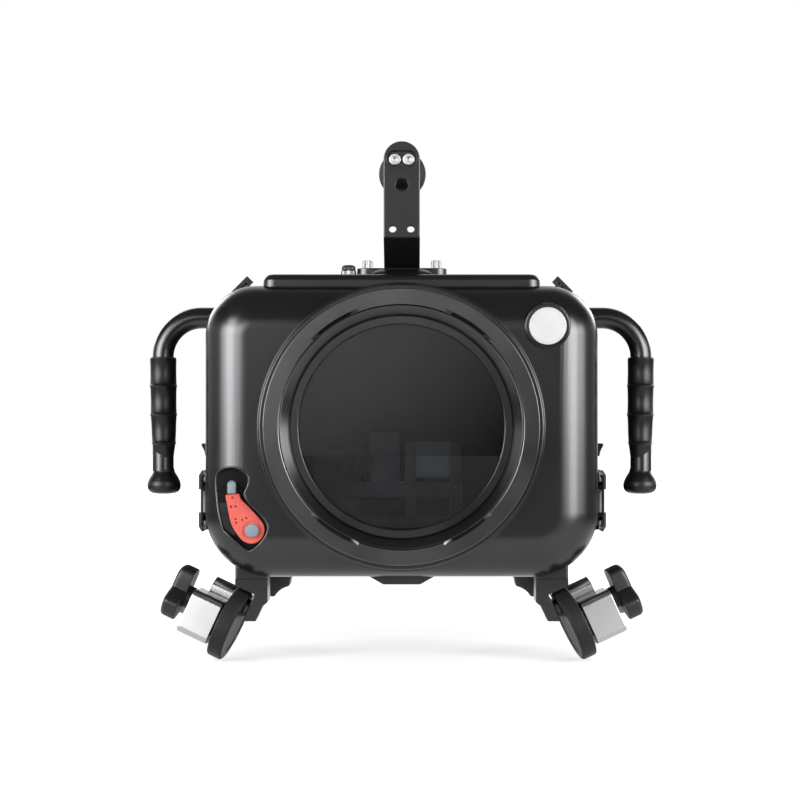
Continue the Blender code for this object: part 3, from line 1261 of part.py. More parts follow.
def make_front_foot():
    frame = foot_frame()
    inner = frame @ Vector((DISC_BOLT_RISE, 0, -DISC_THICKNESS))
    bracket = solid("foot_bracket_left", front_outline("foot_bracket", [foot_bracket_loop(inner)],
                                                       FOOT_DEPTH - FOOT_HALF_LENGTH,
                                                       FOOT_DEPTH + FOOT_HALF_LENGTH), HOUSING)
    cone = DISC_THICKNESS - cone_depth(DISC_BOLT_RISE)
    join(bracket, "disc_stand", foot_rod(DISC_BOLT_RISE, -DISC_THICKNESS - DISC_STAND - 0.002,
                                         DISC_STAND + 0.002 - GAP, 2 * DISC_PIN_RADIUS))
    join(bracket, "disc_pin", foot_rod(DISC_BOLT_RISE, -DISC_THICKNESS - DISC_STAND,
                                       DISC_STAND + cone + 0.010, DISC_PIN_RADIUS, 12))
    mirrored(bracket, "foot_bracket_right")
    profile = [(0, -DISC_LAND), (DISC_LAND_RADIUS, -DISC_LAND), (DISC_LAND_RADIUS, 0),
               (DISC_RADIUS - 0.0012, 0), (DISC_RADIUS, 0.0012), (DISC_RADIUS, DISC_RIM),
               (DISC_CONE_RADIUS, DISC_THICKNESS), (0, DISC_THICKNESS)]
    disc = turned("foot_disc_left", profile, frame.translation, RUBBER, 32, frame.to_3x3().to_4x4())
    cut(disc, "disc_pin_bore", foot_rod(DISC_BOLT_RISE, -DISC_THICKNESS - 0.01, 0.0205,
                                        DISC_PIN_RADIUS + GAP, 12))
    cut(disc, "disc_stud_bore", foot_rod(DISC_STUD_RISE, -0.012, 0.03, STUD_RADIUS + GAP, 16))
    cut(disc, "disc_dowel_bore", foot_rod(WEIGHT_PIN[0], -0.007, 0.03, DISC_PIN_RADIUS + GAP, 12,
                                          WEIGHT_PIN[1]))
    mirrored(disc, "foot_disc_right")
    make_weights()
    make_clamp()


def cone_depth(rise):
    """How deep the disc's inner side lies at a distance from its middle."""
    beyond = max(rise - DISC_CONE_RADIUS, 0) / (DISC_RADIUS - DISC_CONE_RADIUS)
    return DISC_THICKNESS - beyond * (DISC_THICKNESS - DISC_RIM)


def weight(name, size, rise, depth, stand, rounding):
    shape = bmesh.new()
    matrix = Matrix.Translation((rise, depth, stand + size[2] / 2)) @ Matrix.Diagonal((*size, 1))
    bmesh.ops.create_cube(shape, size=1, matrix=matrix)
    round_edges(shape, edges_along(shape, 2), rounding, 4)
    return solid(name, placed(shape, foot_frame()), SILVER)


def make_weights():
    stand = DISC_LAND + GAP
    front = weight("front_weight_left", WEIGHT_SIZE, WEIGHT_RISE, 0, stand, 0.0065)
    cut(front, "weight_stud_bore", foot_rod(DISC_STUD_RISE, -0.01, 0.06, STUD_RADIUS + GAP, 16))
    mirrored(front, "front_weight_right")
    back = WEIGHT_SIZE[1] / 2 + REAR_WEIGHT_SIZE[1] / 2 + GAP
    rear = weight("rear_weight_left", REAR_WEIGHT_SIZE, REAR_WEIGHT_RISE, back, stand, 0.009)
    join(rear, "weight_dowel", foot_rod(WEIGHT_PIN[0], -0.006, stand + 0.010, DISC_PIN_RADIUS, 12,
                                        WEIGHT_PIN[1]))
    mirrored(rear, "rear_weight_right")


def clamp_ring(scale, height):
    """The lobed outline of the clamp knob at a height on its axis."""
    points = []
    count = 48
    for i in range(count):
        a = 2 * pi * i / count
        nearest = min(abs((a - radians(valley) + pi) % (2 * pi) - pi) for valley in CLAMP_VALLEYS)
        wall = CLAMP_LOBE_HALF / max(sin(radians(60) - nearest), 0.1)
        radius = scale * (CLAMP_RADIUS ** -8 + wall ** -8) ** (-1 / 8)
        points.append(Vector((radius * cos(a), radius * sin(a), height)))
    return points


def make_clamp():
    frame = foot_frame() @ Matrix.Translation((DISC_STUD_RISE, 0, 0))
    neck = DISC_LAND + WEIGHT_SIZE[2] + 2 * GAP
    start = neck + CLAMP_NECK
    rings = [clamp_ring(1, start), clamp_ring(1, start + CLAMP_HEIGHT * 0.72),
             clamp_ring(0.94, start + CLAMP_HEIGHT * 0.9), clamp_ring(0.8, start + CLAMP_HEIGHT)]
    knob = solid("clamp_knob_left", placed(skin(rings), frame), MOULDED)
    join(knob, "clamp_neck", foot_rod(DISC_STUD_RISE, neck, CLAMP_NECK + 0.002, CLAMP_NECK_RADIUS))
    join(knob, "clamp_stud", foot_rod(DISC_STUD_RISE, -0.010, neck + 0.018, STUD_RADIUS, 16))
    set_origin(bake(knob), frame @ Vector((0, 0, start)))
    mirrored(knob, "clamp_knob_right")


def make_rear_foot():
    low = -BODY_BOTTOM - FOOT_BOSS_DROP - GAP
    floor = low - REAR_BRACKET_DROP
    arch = arc(-REAR_FOOT_INNER_X, floor - REAR_ARCH_RADIUS + 0.0045, REAR_ARCH_RADIUS, 100, 150, 5)
    loop = [(-REAR_FOOT_OUTER_X, low), (-REAR_FOOT_INNER_X, low)] + arch + \
        [(-REAR_FOOT_OUTER_X + 0.004, floor - 0.006), (-REAR_FOOT_OUTER_X, floor - 0.002)]
    bracket = solid("rear_bracket_left", front_outline("rear_bracket", [loop],
                                                       REAR_FOOT_DEPTH - FOOT_HALF_LENGTH,
                                                       REAR_FOOT_DEPTH + FOOT_HALF_LENGTH), HOUSING)
    top = at(-LEG_TOP[0], REAR_FOOT_DEPTH, LEG_TOP[1])
    foot = at(-LEG_FOOT_X, REAR_FOOT_DEPTH, LEG_TIP_RADIUS - AXIS_Z)
    run = (foot - top).normalized()
    seat = top - run * LEG_SEAT
    length = (foot - seat).length
    cut(bracket, "leg_seat", rod(seat - run * GAP, run, LEG_RADIUS + GAP, length))
    mirrored(bracket, "rear_bracket_right")
    tip = LEG_TIP_RADIUS
    ball = [(tip * cos(radians(a)), length + tip * sin(radians(a))) for a in (-40, -15, 10, 35, 60)]
    profile = [(0, 0), (LEG_RADIUS, 0)] + [(LEG_RADIUS, length - tip)] + ball + [(0, length + tip)]
    leg = turned("rear_leg_left", profile, seat, SILVER, 14, facing(-run))
    mirrored(leg, "rear_leg_right")


# Inside

def gear_loop(teeth, phase):
    """A gear's outline about its own axis, with room between meshing teeth."""
    pitch = teeth * GEAR_MODULE / 2
    tip = pitch + GEAR_MODULE * 0.8
    root = pitch - GEAR_MODULE * 1.15
    step = 2 * pi / teeth
    half = step / 4 - GEAR_BACKLASH / pitch / 2
    points = []
    for i in range(teeth):
        middle = phase + i * step
        corners = ((root, half * 1.7), (tip, half * 0.55), (tip, -half * 0.55), (root, -half * 1.7))
        for radius, spread in corners:
            a = middle - spread
            points.append((radius * cos(a), radius * sin(a)))
    return points


def pinion_place():
    apart = (GEAR_TEETH + PINION_TEETH) * GEAR_MODULE / 2
    return GEAR_X - apart, GEAR_HEIGHT


def make_drive():
    wheel_loop = [(GEAR_X + x, GEAR_HEIGHT + z) for x, z in gear_loop(GEAR_TEETH, 0)]
    wheel = solid("lens_gear", front_outline("wheel", [wheel_loop], GEAR_DEPTH, GEAR_DEPTH + GEAR_WIDTH), GREY)
    cut(wheel, "wheel_bore", rear_rod(GEAR_X, GEAR_HEIGHT, GEAR_DEPTH - 0.01, GEAR_DEPTH + 0.02,
                                      AXLE_RADIUS + GAP, 16))
    set_origin(bake(wheel), at(GEAR_X, GEAR_DEPTH, GEAR_HEIGHT))
    x, height = pinion_place()
    pinion_loop = [(x + px, height + pz) for px, pz in gear_loop(PINION_TEETH, pi / PINION_TEETH)]
    knob0 = BODY_DEPTH + GAP
    shaft = solid("drive_shaft", front_outline("pinion", [pinion_loop], GEAR_DEPTH, GEAR_DEPTH + GEAR_WIDTH),
                  SILVER)
    join(shaft, "shaft_bar", rear_rod(x, height, GEAR_DEPTH - 0.002, knob0 + 0.008, DRIVE_RADIUS))
    set_origin(bake(shaft), at(x, GEAR_DEPTH, height))
    knob = solid("drive_knob", rear_rod(x, height, knob0, knob0 + DRIVE_KNOB_HEIGHT, DRIVE_KNOB_RADIUS, 32),
                 MOULDED)
    cut(knob, "knob_bore", rear_rod(x, height, knob0 - 0.01, knob0 + 0.008 + GAP, DRIVE_RADIUS + GAP))
    set_origin(bake(knob), at(x, knob0, height))


def make_tray():
    back = TRAY_DEPTH + TRAY_LENGTH
    base_top = TRAY_BASE_HEIGHT + TRAY_BASE_THICKNESS
    base = box(TRAY_LEFT, TRAY_RIGHT, TRAY_DEPTH, back, TRAY_BASE_HEIGHT, base_top)
    tray = solid("camera_tray", base, INNER)
    table_top = TRAY_TABLE_HEIGHT + TRAY_TABLE_THICKNESS
    join(tray, "table", box(-0.058, TRAY_RIGHT, TRAY_DEPTH, back, TRAY_TABLE_HEIGHT, table_top))
    for i, x in enumerate(TRAY_POSTS):
        half = TRAY_POST_WIDTH / 2
        join(tray, "post_%d" % i, box(x - half, x + half, TRAY_DEPTH + 0.001, back - 0.001,
                                      base_top - 0.001, TRAY_TABLE_HEIGHT + 0.001))
        if i:
            join(tray, "upright_%d" % i, box(x - half, x + half, TRAY_DEPTH + 0.002,
                                             TRAY_DEPTH + 0.002 + UPRIGHT_THICKNESS, table_top - 0.001,
                                             UPRIGHT_TOP))
    x, height = pinion_place()
    half = TRAY_POST_WIDTH / 2
    wing = [(TRAY_LEFT, TRAY_BASE_HEIGHT + 0.001), (TRAY_POSTS[0] + half + 0.001, TRAY_BASE_HEIGHT + 0.001),
            (TRAY_POSTS[0] + half + 0.001, GEAR_HEIGHT + 0.010), (GEAR_X - 0.004, GEAR_HEIGHT + 0.012),
            (x, height + 0.012), (TRAY_LEFT, height + 0.004)]
    join(tray, "drive_wing", front_outline("wing", [wing], TRAY_DEPTH + 0.001,
                                           TRAY_DEPTH + 0.001 + UPRIGHT_THICKNESS))
    cut(tray, "wing_bore", rear_rod(x, height, TRAY_DEPTH - 0.01, TRAY_DEPTH + 0.03, DRIVE_RADIUS + GAP))
    join(tray, "axle", rear_rod(GEAR_X, GEAR_HEIGHT, GEAR_DEPTH - 0.001, TRAY_DEPTH + 0.004, AXLE_RADIUS, 16))
    join(tray, "camera_pad", box(-0.033, -0.003, TRAY_DEPTH + 0.003, TRAY_DEPTH + 0.017, table_top - 0.001,
                                 -0.005))
    shell_floor = -BODY_BOTTOM + WALL + GAP
    for i, x in enumerate((TRAY_LEFT + 0.012, TRAY_RIGHT - 0.012)):
        join(tray, "tray_foot_%d" % i, box(x - 0.01, x + 0.01, TRAY_DEPTH + 0.004, back - 0.004, shell_floor,
                                           TRAY_BASE_HEIGHT + 0.001))


def make_buttons():
    for i, height in enumerate(BUTTON_HEIGHTS):
        seat = BODY_DEPTH + BUTTON_TRAVEL + 2 * GAP
        cap = rear_rod(BUTTON_X, height, seat, seat + 0.006, BUTTON_RADIUS, 24)
        button = solid("rear_button_%s" % ("upper", "lower")[i], cap, MOULDED)
        join(button, "button_stem_%d" % i, rear_rod(BUTTON_X, height, BODY_DEPTH - WALL - 0.004, seat + 0.001,
                                                    BUTTON_STEM_RADIUS, 16))
        join(button, "button_clip_%d" % i, rear_rod(BUTTON_X, height, BODY_DEPTH - WALL - GAP - 0.003,
                                                    BODY_DEPTH - WALL - GAP, BUTTON_STEM_RADIUS + 0.0015, 16))
        set_origin(bake(button), at(BUTTON_X, seat, height))


clear_scene()
make_front_shell()
make_rear_shell()
make_window()
make_main_o_ring()
make_port_mount()
make_port()
make_badge()
make_lever()
make_handle()
make_carry_handle()
make_valve()
for latch_name, latch_frame in LATCHES.items():
    make_latch(latch_name, latch_frame)
make_front_foot()
make_rear_foot()
make_drive()
make_tray()
make_buttons()
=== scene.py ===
# %% [markdown]
# # An underwater camera housing, dressed round its CAD frame
#
# The real object is a watertight aluminium box for a large camera. Two shells are held together by draw
# latches, a round port looks forward, two bent handles stand at the sides, and a carry handle stands on top.
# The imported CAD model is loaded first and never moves. Every piece made here stands for one CAD solid and
# rides on that solid's body, so the joints still work.

# %% Load the frame
import json
from math import cos, degrees, exp, pi, radians, sin, tan

import bmesh
import bpy
from mathutils import Matrix, Vector
from mathutils.bvhtree import BVHTree
from mathutils.geometry import intersect_point_line

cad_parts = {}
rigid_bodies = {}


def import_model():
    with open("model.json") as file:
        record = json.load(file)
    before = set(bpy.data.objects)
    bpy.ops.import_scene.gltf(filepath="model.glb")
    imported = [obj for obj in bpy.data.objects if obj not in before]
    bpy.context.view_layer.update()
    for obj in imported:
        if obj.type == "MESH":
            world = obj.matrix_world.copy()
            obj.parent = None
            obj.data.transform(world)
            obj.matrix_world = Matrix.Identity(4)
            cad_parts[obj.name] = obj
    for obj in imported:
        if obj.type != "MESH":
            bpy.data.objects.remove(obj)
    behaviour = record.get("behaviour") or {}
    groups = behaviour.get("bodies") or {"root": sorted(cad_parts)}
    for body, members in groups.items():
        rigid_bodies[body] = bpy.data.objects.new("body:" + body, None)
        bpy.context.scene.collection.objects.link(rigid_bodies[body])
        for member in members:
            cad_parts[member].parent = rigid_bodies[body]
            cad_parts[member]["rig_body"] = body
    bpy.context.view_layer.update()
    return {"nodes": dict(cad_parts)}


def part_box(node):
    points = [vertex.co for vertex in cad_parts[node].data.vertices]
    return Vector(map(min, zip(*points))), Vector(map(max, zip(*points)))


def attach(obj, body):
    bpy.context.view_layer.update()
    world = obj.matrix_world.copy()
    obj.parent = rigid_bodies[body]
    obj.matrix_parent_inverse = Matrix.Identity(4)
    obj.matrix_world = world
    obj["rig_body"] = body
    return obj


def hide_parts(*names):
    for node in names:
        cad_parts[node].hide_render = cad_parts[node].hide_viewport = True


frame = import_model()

# %% [markdown]
# ## Places
#
# Everything on this housing is laid out round the port. So a place is told by three values: x to the right
# as seen from the front, the depth behind the front face, and the height above the port's axis. The axis
# and the face are read from the CAD glass, so they can't drift from the frame.

# %% Axis and face
GLASS_FRONT = 0.0143
glass_low, glass_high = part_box("port_glass")
AXIS = (glass_low.z + glass_high.z) / 2
FACE = glass_low.y - GLASS_FRONT
BACKWARD = Vector((0, 1, 0))
UPWARD = Vector((0, 0, 1))
FRONT_VIEW = Matrix(((1, 0, 0, 0), (0, 0, -1, 0), (0, 1, 0, 0), (0, 0, 0, 1)))
SIDE_VIEW = Matrix(((0, 0, 1, 0), (1, 0, 0, 0), (0, 1, 0, 0), (0, 0, 0, 1)))
BACK_VIEW = Matrix.Rotation(-pi / 2, 4, "X")


def at(x, depth, height):
    return Vector((x, FACE + depth, AXIS + height))


print("port axis %.4f m above the floor, front face at y %.4f m" % (AXIS, FACE))

# %% [markdown]
# ## Making shapes
#
# Machined parts come from few operations: turning on a lathe, milling an outline out of a plate, and bending
# a tube. The helpers below are named for them. Each gives a bmesh, which is easy to cut and round further
# before it becomes an object.

# %% Turned, milled, lofted and bent shapes
def circle(steps):
    """The angles of so many points round a circle."""
    return [2 * pi * i / steps for i in range(steps)]


def shape_from_rows(rows, ring_closed=False):
    """Joins rows of points by faces; a row of one point is a tip."""
    shape = bmesh.new()
    rows = [[shape.verts.new(point) for point in row] for row in rows]
    count = max(len(row) for row in rows)
    pairs = list(zip(rows, rows[1:]))
    if ring_closed:
        pairs.append((rows[-1], rows[0]))
    else:
        for end in (rows[0][::-1], rows[-1]):
            if len(end) > 2:
                shape.faces.new(end)
    for low, high in pairs:
        for i in range(count):
            j = (i + 1) % count
            corners = [low[i % len(low)], low[j % len(low)], high[j % len(high)], high[i % len(high)]]
            shape.faces.new(list(dict.fromkeys(corners)))
    bmesh.ops.recalc_face_normals(shape, faces=shape.faces)
    return shape


def turned(profile, place, steps=128, view=FRONT_VIEW, ribs=None):
    """Spins (radius, distance behind the place) round the view's axis. Ribs are (rows, count, depth)."""
    frame_here = Matrix.Translation(place) @ view
    rows = []
    for row, (radius, distance) in enumerate(profile):
        if radius < 1e-6:
            rows.append([frame_here @ Vector((0, 0, -distance))])
            continue
        ring = []
        for angle in circle(steps):
            reach = radius
            if ribs and row in ribs[0]:
                reach -= ribs[2] * (0.5 - 0.5 * cos(ribs[1] * angle))
            ring.append(frame_here @ Vector((reach * cos(angle), reach * sin(angle), -distance)))
        rows.append(ring)
    return shape_from_rows(rows, ring_closed=profile[0][0] > 1e-6)


def milled(loop, view, thickness):
    """Gives an outline a thickness about the view's plane."""
    rows = [[view @ Vector((x, y, side * thickness / 2)) for x, y in loop] for side in (-1, 1)]
    return shape_from_rows(rows)


def from_front(loop, depth0, depth1):
    """An outline drawn as x and height, milled between two depths."""
    view = Matrix.Translation(at(0, (depth0 + depth1) / 2, 0)) @ FRONT_VIEW
    return milled(loop, view, depth1 - depth0)


def from_side(loop, x0, x1):
    """An outline drawn as depth and height, milled between two x values."""
    view = Matrix.Translation(at((x0 + x1) / 2, 0, 0)) @ SIDE_VIEW
    return milled(loop, view, x1 - x0)


def rod(start, direction, radius, length, steps=32):
    turn = UPWARD.rotation_difference(Vector(direction).normalized()).to_matrix().to_4x4()
    frame_here = Matrix.Translation(start) @ turn
    return shape_from_rows([[frame_here @ Vector((radius * cos(a), radius * sin(a), distance))
                             for a in circle(steps)] for distance in (0, length)])


def rear_rod(x, height, depth0, depth1, radius, steps=48):
    return rod(at(x, depth0, height), BACKWARD, radius, depth1 - depth0, steps)


def cuboid(place, size):
    """A box of a size, its middle set by a matrix."""
    shape = bmesh.new()
    bmesh.ops.create_cube(shape, size=1, matrix=place @ Matrix.Diagonal((*size, 1)))
    return shape


def block(x0, x1, depth0, depth1, height0, height1):
    low, high = at(x0, depth0, height0), at(x1, depth1, height1)
    return cuboid(Matrix.Translation((low + high) / 2), high - low)


def bent_tube(path, radius, sides):
    """A round tube along a path in the plane of the front."""
    rows = []
    for i, place in enumerate(path):
        run = (path[min(i + 1, len(path) - 1)] - path[max(i - 1, 0)]).normalized()
        across = run.cross(BACKWARD)
        rows.append([place + radius * (cos(a) * across + sin(a) * BACKWARD) for a in circle(sides)])
    return shape_from_rows(rows)


def arc(x, y, radius, start, stop, count):
    angles = [radians(start + (stop - start) * i / count) for i in range(count + 1)]
    return [(x + radius * cos(a), y + radius * sin(a)) for a in angles]


def smooth_loop(points, cuts):
    """A closed smooth line through the points."""
    result = []
    for i in range(len(points)):
        p0, p1, p2, p3 = (Vector(points[(i + k - 1) % len(points)]) for k in range(4))
        for j in range(cuts):
            u = j / cuts
            p = 0.5 * (2 * p1 + (p2 - p0) * u + (2 * p0 - 5 * p1 + 4 * p2 - p3) * u ** 2
                       + (3 * p1 - p0 - 3 * p2 + p3) * u ** 3)
            result.append((p.x, p.y))
    return result


# %% [markdown]
# ## Cutting and rounding
#
# A pocket or a bore is cut with Blender's exact Boolean, as a mill would cut it. A sharp edge then gets a
# small real rounding, because no machined edge is perfectly sharp and the thin line of light along it
# tells the eye how big the part is.

# %% Booleans and rounded edges
SAME_PLACE = 2e-6


def loose_object(shape):
    mesh = bpy.data.meshes.new("work")
    shape.to_mesh(mesh)
    shape.free()
    item = bpy.data.objects.new("work", mesh)
    bpy.context.scene.collection.objects.link(item)
    return item


def machined(base, *steps):
    """Cuts shapes from a base or joins them on, in order. A step is ("cut" | "join" | "keep", shape)."""
    kinds = {"cut": "DIFFERENCE", "join": "UNION", "keep": "INTERSECT"}
    work = loose_object(base)
    helpers = []
    for how, shape in steps:
        helpers.append(loose_object(shape))
        modifier = work.modifiers.new(how, "BOOLEAN")
        modifier.operation = kinds[how]
        modifier.object = helpers[-1]
        modifier.solver = "EXACT"
    bpy.context.view_layer.update()
    final = work.evaluated_get(bpy.context.evaluated_depsgraph_get())
    result = bmesh.new()
    result.from_mesh(bpy.data.meshes.new_from_object(final))
    for item in helpers + [work]:
        bpy.data.objects.remove(item, do_unlink=True)
    bmesh.ops.remove_doubles(result, verts=result.verts, dist=SAME_PLACE)
    return result


def sharp_edges(shape, angle):
    return [e for e in shape.edges if len(e.link_faces) == 2 and e.calc_face_angle(0) > radians(angle)]


def edges_along(shape, axis):
    """The edges that run along an axis, by its number."""
    return [e for e in shape.edges if abs((e.verts[0].co - e.verts[1].co).normalized()[axis]) > 0.99]


def edges_at(shape, depth):
    """The edges that lie at a depth behind the front face."""
    return [e for e in shape.edges if all(abs(v.co.y - FACE - depth) < 1e-6 for v in e.verts)]


def round_off(shape, edges, width, segments, clamp=False):
    bmesh.ops.bevel(shape, geom=edges, offset=width, offset_type="OFFSET", segments=segments, profile=0.5,
                    affect="EDGES", clamp_overlap=clamp)
    return shape


def rounded(shape, width, angle=40, segments=3):
    return round_off(shape, sharp_edges(shape, angle), width, segments, clamp=True)


def mirrored(shape):
    twin = shape.copy()
    twin.transform(Matrix.Scale(-1, 4, Vector((1, 0, 0))))
    bmesh.ops.reverse_faces(twin, faces=twin.faces)
    return twin


# %% [markdown]
# ## From a shape to a piece
#
# A piece gets smooth shading up to an angle, and a Weighted Normal modifier. That modifier lets the large
# faces decide the shading, so that a flat face next to a rounded edge stays flat to the eye.

# %% Pieces that take a CAD solid's place
housing_pieces = bpy.data.collections.new("housing_pieces")
bpy.context.scene.collection.children.link(housing_pieces)


def show(name, shape, finish, node, angle=32):
    mesh = bpy.data.meshes.new(name)
    shape.to_mesh(mesh)
    shape.free()
    mesh.materials.append(finish)
    mesh.shade_smooth()
    mesh.set_sharp_from_angle(angle=radians(angle))
    piece = bpy.data.objects.new(name, mesh)
    housing_pieces.objects.link(piece)
    modifier = piece.modifiers.new("even_shading", "WEIGHTED_NORMAL")
    modifier.keep_sharp = True
    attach(piece, frame["nodes"][node]["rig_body"])
    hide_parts(node)
    return piece


def show_pair(stem, shape, finish, node_stem, angle=32):
    """The left piece and its mirror image."""
    twin = mirrored(shape)
    show(stem + "_left", shape, finish, node_stem + "_left", angle)
    show(stem + "_right", twin, finish, node_stem + "_right", angle)


def from_cad(node, width=0.0004, angle=35, segments=2):
    """The CAD solid's shape with its flat facets merged and its sharp edges rounded."""
    shape = bmesh.new()
    shape.from_mesh(frame["nodes"][node].data)
    bmesh.ops.remove_doubles(shape, verts=shape.verts, dist=SAME_PLACE)
    bmesh.ops.dissolve_limit(shape, angle_limit=radians(0.6), verts=shape.verts, edges=shape.edges)
    if width:
        rounded(shape, width, angle, segments)
    bmesh.ops.recalc_face_normals(shape, faces=shape.faces)
    return shape


def show_cad(name, finish, node, width=0.0004, angle=35, segments=2):
    """A piece that keeps its CAD solid's shape, with rounded edges."""
    show(name, from_cad(node, width, angle, segments), finish, node)


# %% [markdown]
# ## Finishes
#
# Each finish is built from nodes in metres, read from object coordinates, so that the grain has its real
# size on every piece. The small helpers add one layer each: a noise, a range of tones, and a relief. Those
# of Wiring only join nodes, and the studio uses them too.

# %% Node helpers
class Wiring:
    """Short ways to add nodes to a node tree."""

    def __init__(self, tree):
        self.nodes, self.links = tree.nodes, tree.links

    def feed(self, socket, value):
        """Sets a socket to a number, or links it to another socket."""
        if isinstance(value, (int, float)):
            socket.default_value = value
        else:
            self.links.new(value, socket)

    def math(self, how, *values):
        node = self.nodes.new("ShaderNodeMath")
        node.operation = how
        for socket, value in zip(node.inputs, values):
            self.feed(socket, value)
        return node.outputs["Value"]

    def ramp(self, value, start, stop, low, high, kind="SMOOTHSTEP"):
        """Runs from low to high while the value runs from start to stop."""
        node = self.nodes.new("ShaderNodeMapRange")
        node.interpolation_type = kind
        for socket, number in zip(node.inputs, (value, start, stop, low, high)):
            self.feed(socket, number)
        return node.outputs["Result"]

    def blend(self, share, first, second):
        node = self.nodes.new("ShaderNodeMix")
        for socket, value in zip((node.inputs[0], node.inputs[2], node.inputs[3]), (share, first, second)):
            self.feed(socket, value)
        return node.outputs[0]

    def colours(self, value, low, high, start=0.0, stop=1.0):
        """Runs between two colours while the value runs from start to stop."""
        node = self.nodes.new("ShaderNodeValToRGB")
        for element, position, tone in zip(node.color_ramp.elements, (start, stop), (low, high)):
            element.position = position
            element.color = (*tone, 1)
        self.links.new(value, node.inputs["Fac"])
        return node.outputs["Color"]

    def length(self, vector):
        node = self.nodes.new("ShaderNodeVectorMath")
        node.operation = "LENGTH"
        self.links.new(vector, node.inputs[0])
        return node.outputs["Value"]

    def rays(self, *kinds):
        """1 for the kinds of ray named, 0 for the others."""
        path = self.nodes.new("ShaderNodeLightPath")
        total = path.outputs[kinds[0]]
        for kind in kinds[1:]:
            total = self.math("MAXIMUM", total, path.outputs[kind])
        return total


class Finish(Wiring):
    """A material under construction: its Principled shader, and the object's coordinates."""

    def __init__(self, name, slot, metallic=0.0, **settings):
        self.material = bpy.data.materials.new(name)
        self.material.use_nodes = True
        super().__init__(self.material.node_tree)
        self.shader = self.nodes["Principled BSDF"]
        self.shader.inputs["Metallic"].default_value = metallic
        for socket, value in settings.items():
            self.shader.inputs[socket.replace("_", " ")].default_value = value
        self.place = self.nodes.new("ShaderNodeTexCoord").outputs["Object"]

    def stretched(self, scale, shift=(0, 0, 0)):
        mapping = self.nodes.new("ShaderNodeMapping")
        mapping.inputs["Location"].default_value = shift
        mapping.inputs["Scale"].default_value = scale
        self.links.new(self.place, mapping.inputs["Vector"])
        return mapping.outputs["Vector"]

    def noise(self, scale, detail=4.0, where=None):
        texture = self.nodes.new("ShaderNodeTexNoise")
        texture.inputs["Scale"].default_value = scale
        texture.inputs["Detail"].default_value = detail
        self.links.new(where or self.place, texture.inputs["Vector"])
        return texture.outputs["Fac"]

    def tones(self, value, low, high, start=0.35, stop=0.65):
        """Sets the colour between two tones."""
        self.links.new(self.colours(value, low, high, start, stop), self.shader.inputs["Base Color"])

    def sheen(self, value, low, high):
        """Sets the roughness between two values."""
        self.links.new(self.ramp(value, 0.3, 0.7, low, high, "LINEAR"), self.shader.inputs["Roughness"])

    def relief(self, height, depth, rounding=0.0, strength=1.0):
        """Adds a relief, on edges that are softened by the rounding."""
        bump = self.nodes.new("ShaderNodeBump")
        bump.inputs["Strength"].default_value = strength
        bump.inputs["Distance"].default_value = depth
        self.links.new(height, bump.inputs["Height"])
        if rounding:
            edge = self.nodes.new("ShaderNodeBevel")
            edge.samples = 4
            edge.inputs["Radius"].default_value = rounding
            self.links.new(edge.outputs["Normal"], bump.inputs["Normal"])
        self.links.new(bump.outputs["Normal"], self.shader.inputs["Normal"])

    def sum(self, first, second, share):
        """first + share * second."""
        return self.math("MULTIPLY_ADD", second, share, first)

    def turning_marks(self, centre, pitch):
        """Fine rings round the port axis, as a lathe tool leaves them."""
        from_axis = self.length(self.stretched((1, 0, 1), (-centre.x, 0, -centre.z)))
        return self.math("SINE", self.math("MULTIPLY", from_axis, 2 * pi / pitch))


# %% [markdown]
# ### Black anodised aluminium
#
# The shells are bead blasted and anodised black. The dyed oxide reflects little and spreads its highlights
# into soft bands. A fine noise gives the blasted grain, a broad one the slight change of tone from handling.

# %% Anodised shells and turned rings
def anodised():
    finish = Finish("anodised_black", "black_housing", metallic=0.86)
    broad = finish.noise(9, 3)
    grain = finish.noise(2600, 2)
    finish.tones(finish.sum(broad, grain, 0.3), (0.045, 0.045, 0.0464), (0.058, 0.058, 0.0594), 0.35, 0.95)
    finish.sheen(finish.sum(broad, finish.noise(160), 0.4), 0.20, 0.25)
    finish.relief(grain, 0.000008, rounding=0.0007)
    return finish.material


def ring_black(name, centre, tone, low, high):
    """Turned and anodised: smoother than the shells, with fine rings from the lathe."""
    finish = Finish(name, "black_ring", metallic=0.95)
    marks = finish.turning_marks(centre, 0.0006)
    broad = finish.noise(14, 3)
    finish.tones(broad, (tone, tone, tone * 1.02), (tone * 1.2, tone * 1.2, tone * 1.22))
    finish.sheen(finish.sum(broad, marks, 0.1), low, high)
    finish.relief(finish.sum(finish.noise(1500, 2), marks, 0.4), 0.000006, rounding=0.0005)
    return finish.material


ANODISED = anodised()
FLANGE_BLACK = ring_black("flange_black", at(0, 0, 0), 0.105, 0.20, 0.25)
BARREL_BLACK = ring_black("barrel_black", at(0, 0, 0), 0.070, 0.18, 0.24)
print("anodised finishes made")

# %% [markdown]
# ### Plastic and rubber
#
# The grips and knobs are moulded in a hard black plastic that shines a little more than the shells. The feet
# and seals are rubber. The lever is red so that a diver finds it, with grey parts at its hub and tip.

# %% Moulded finishes
def moulded(name, slot, low, high, sheen, grain_scale=900, depth=0.00003, **settings):
    finish = Finish(name, slot, **settings)
    broad = finish.noise(30, 3)
    fine = finish.noise(grain_scale, 3)
    finish.tones(finish.sum(broad, fine, 0.25), low, high, 0.4, 0.85)
    finish.sheen(finish.sum(broad, fine, 0.3), *sheen)
    finish.relief(fine, depth, rounding=0.0004)
    return finish.material


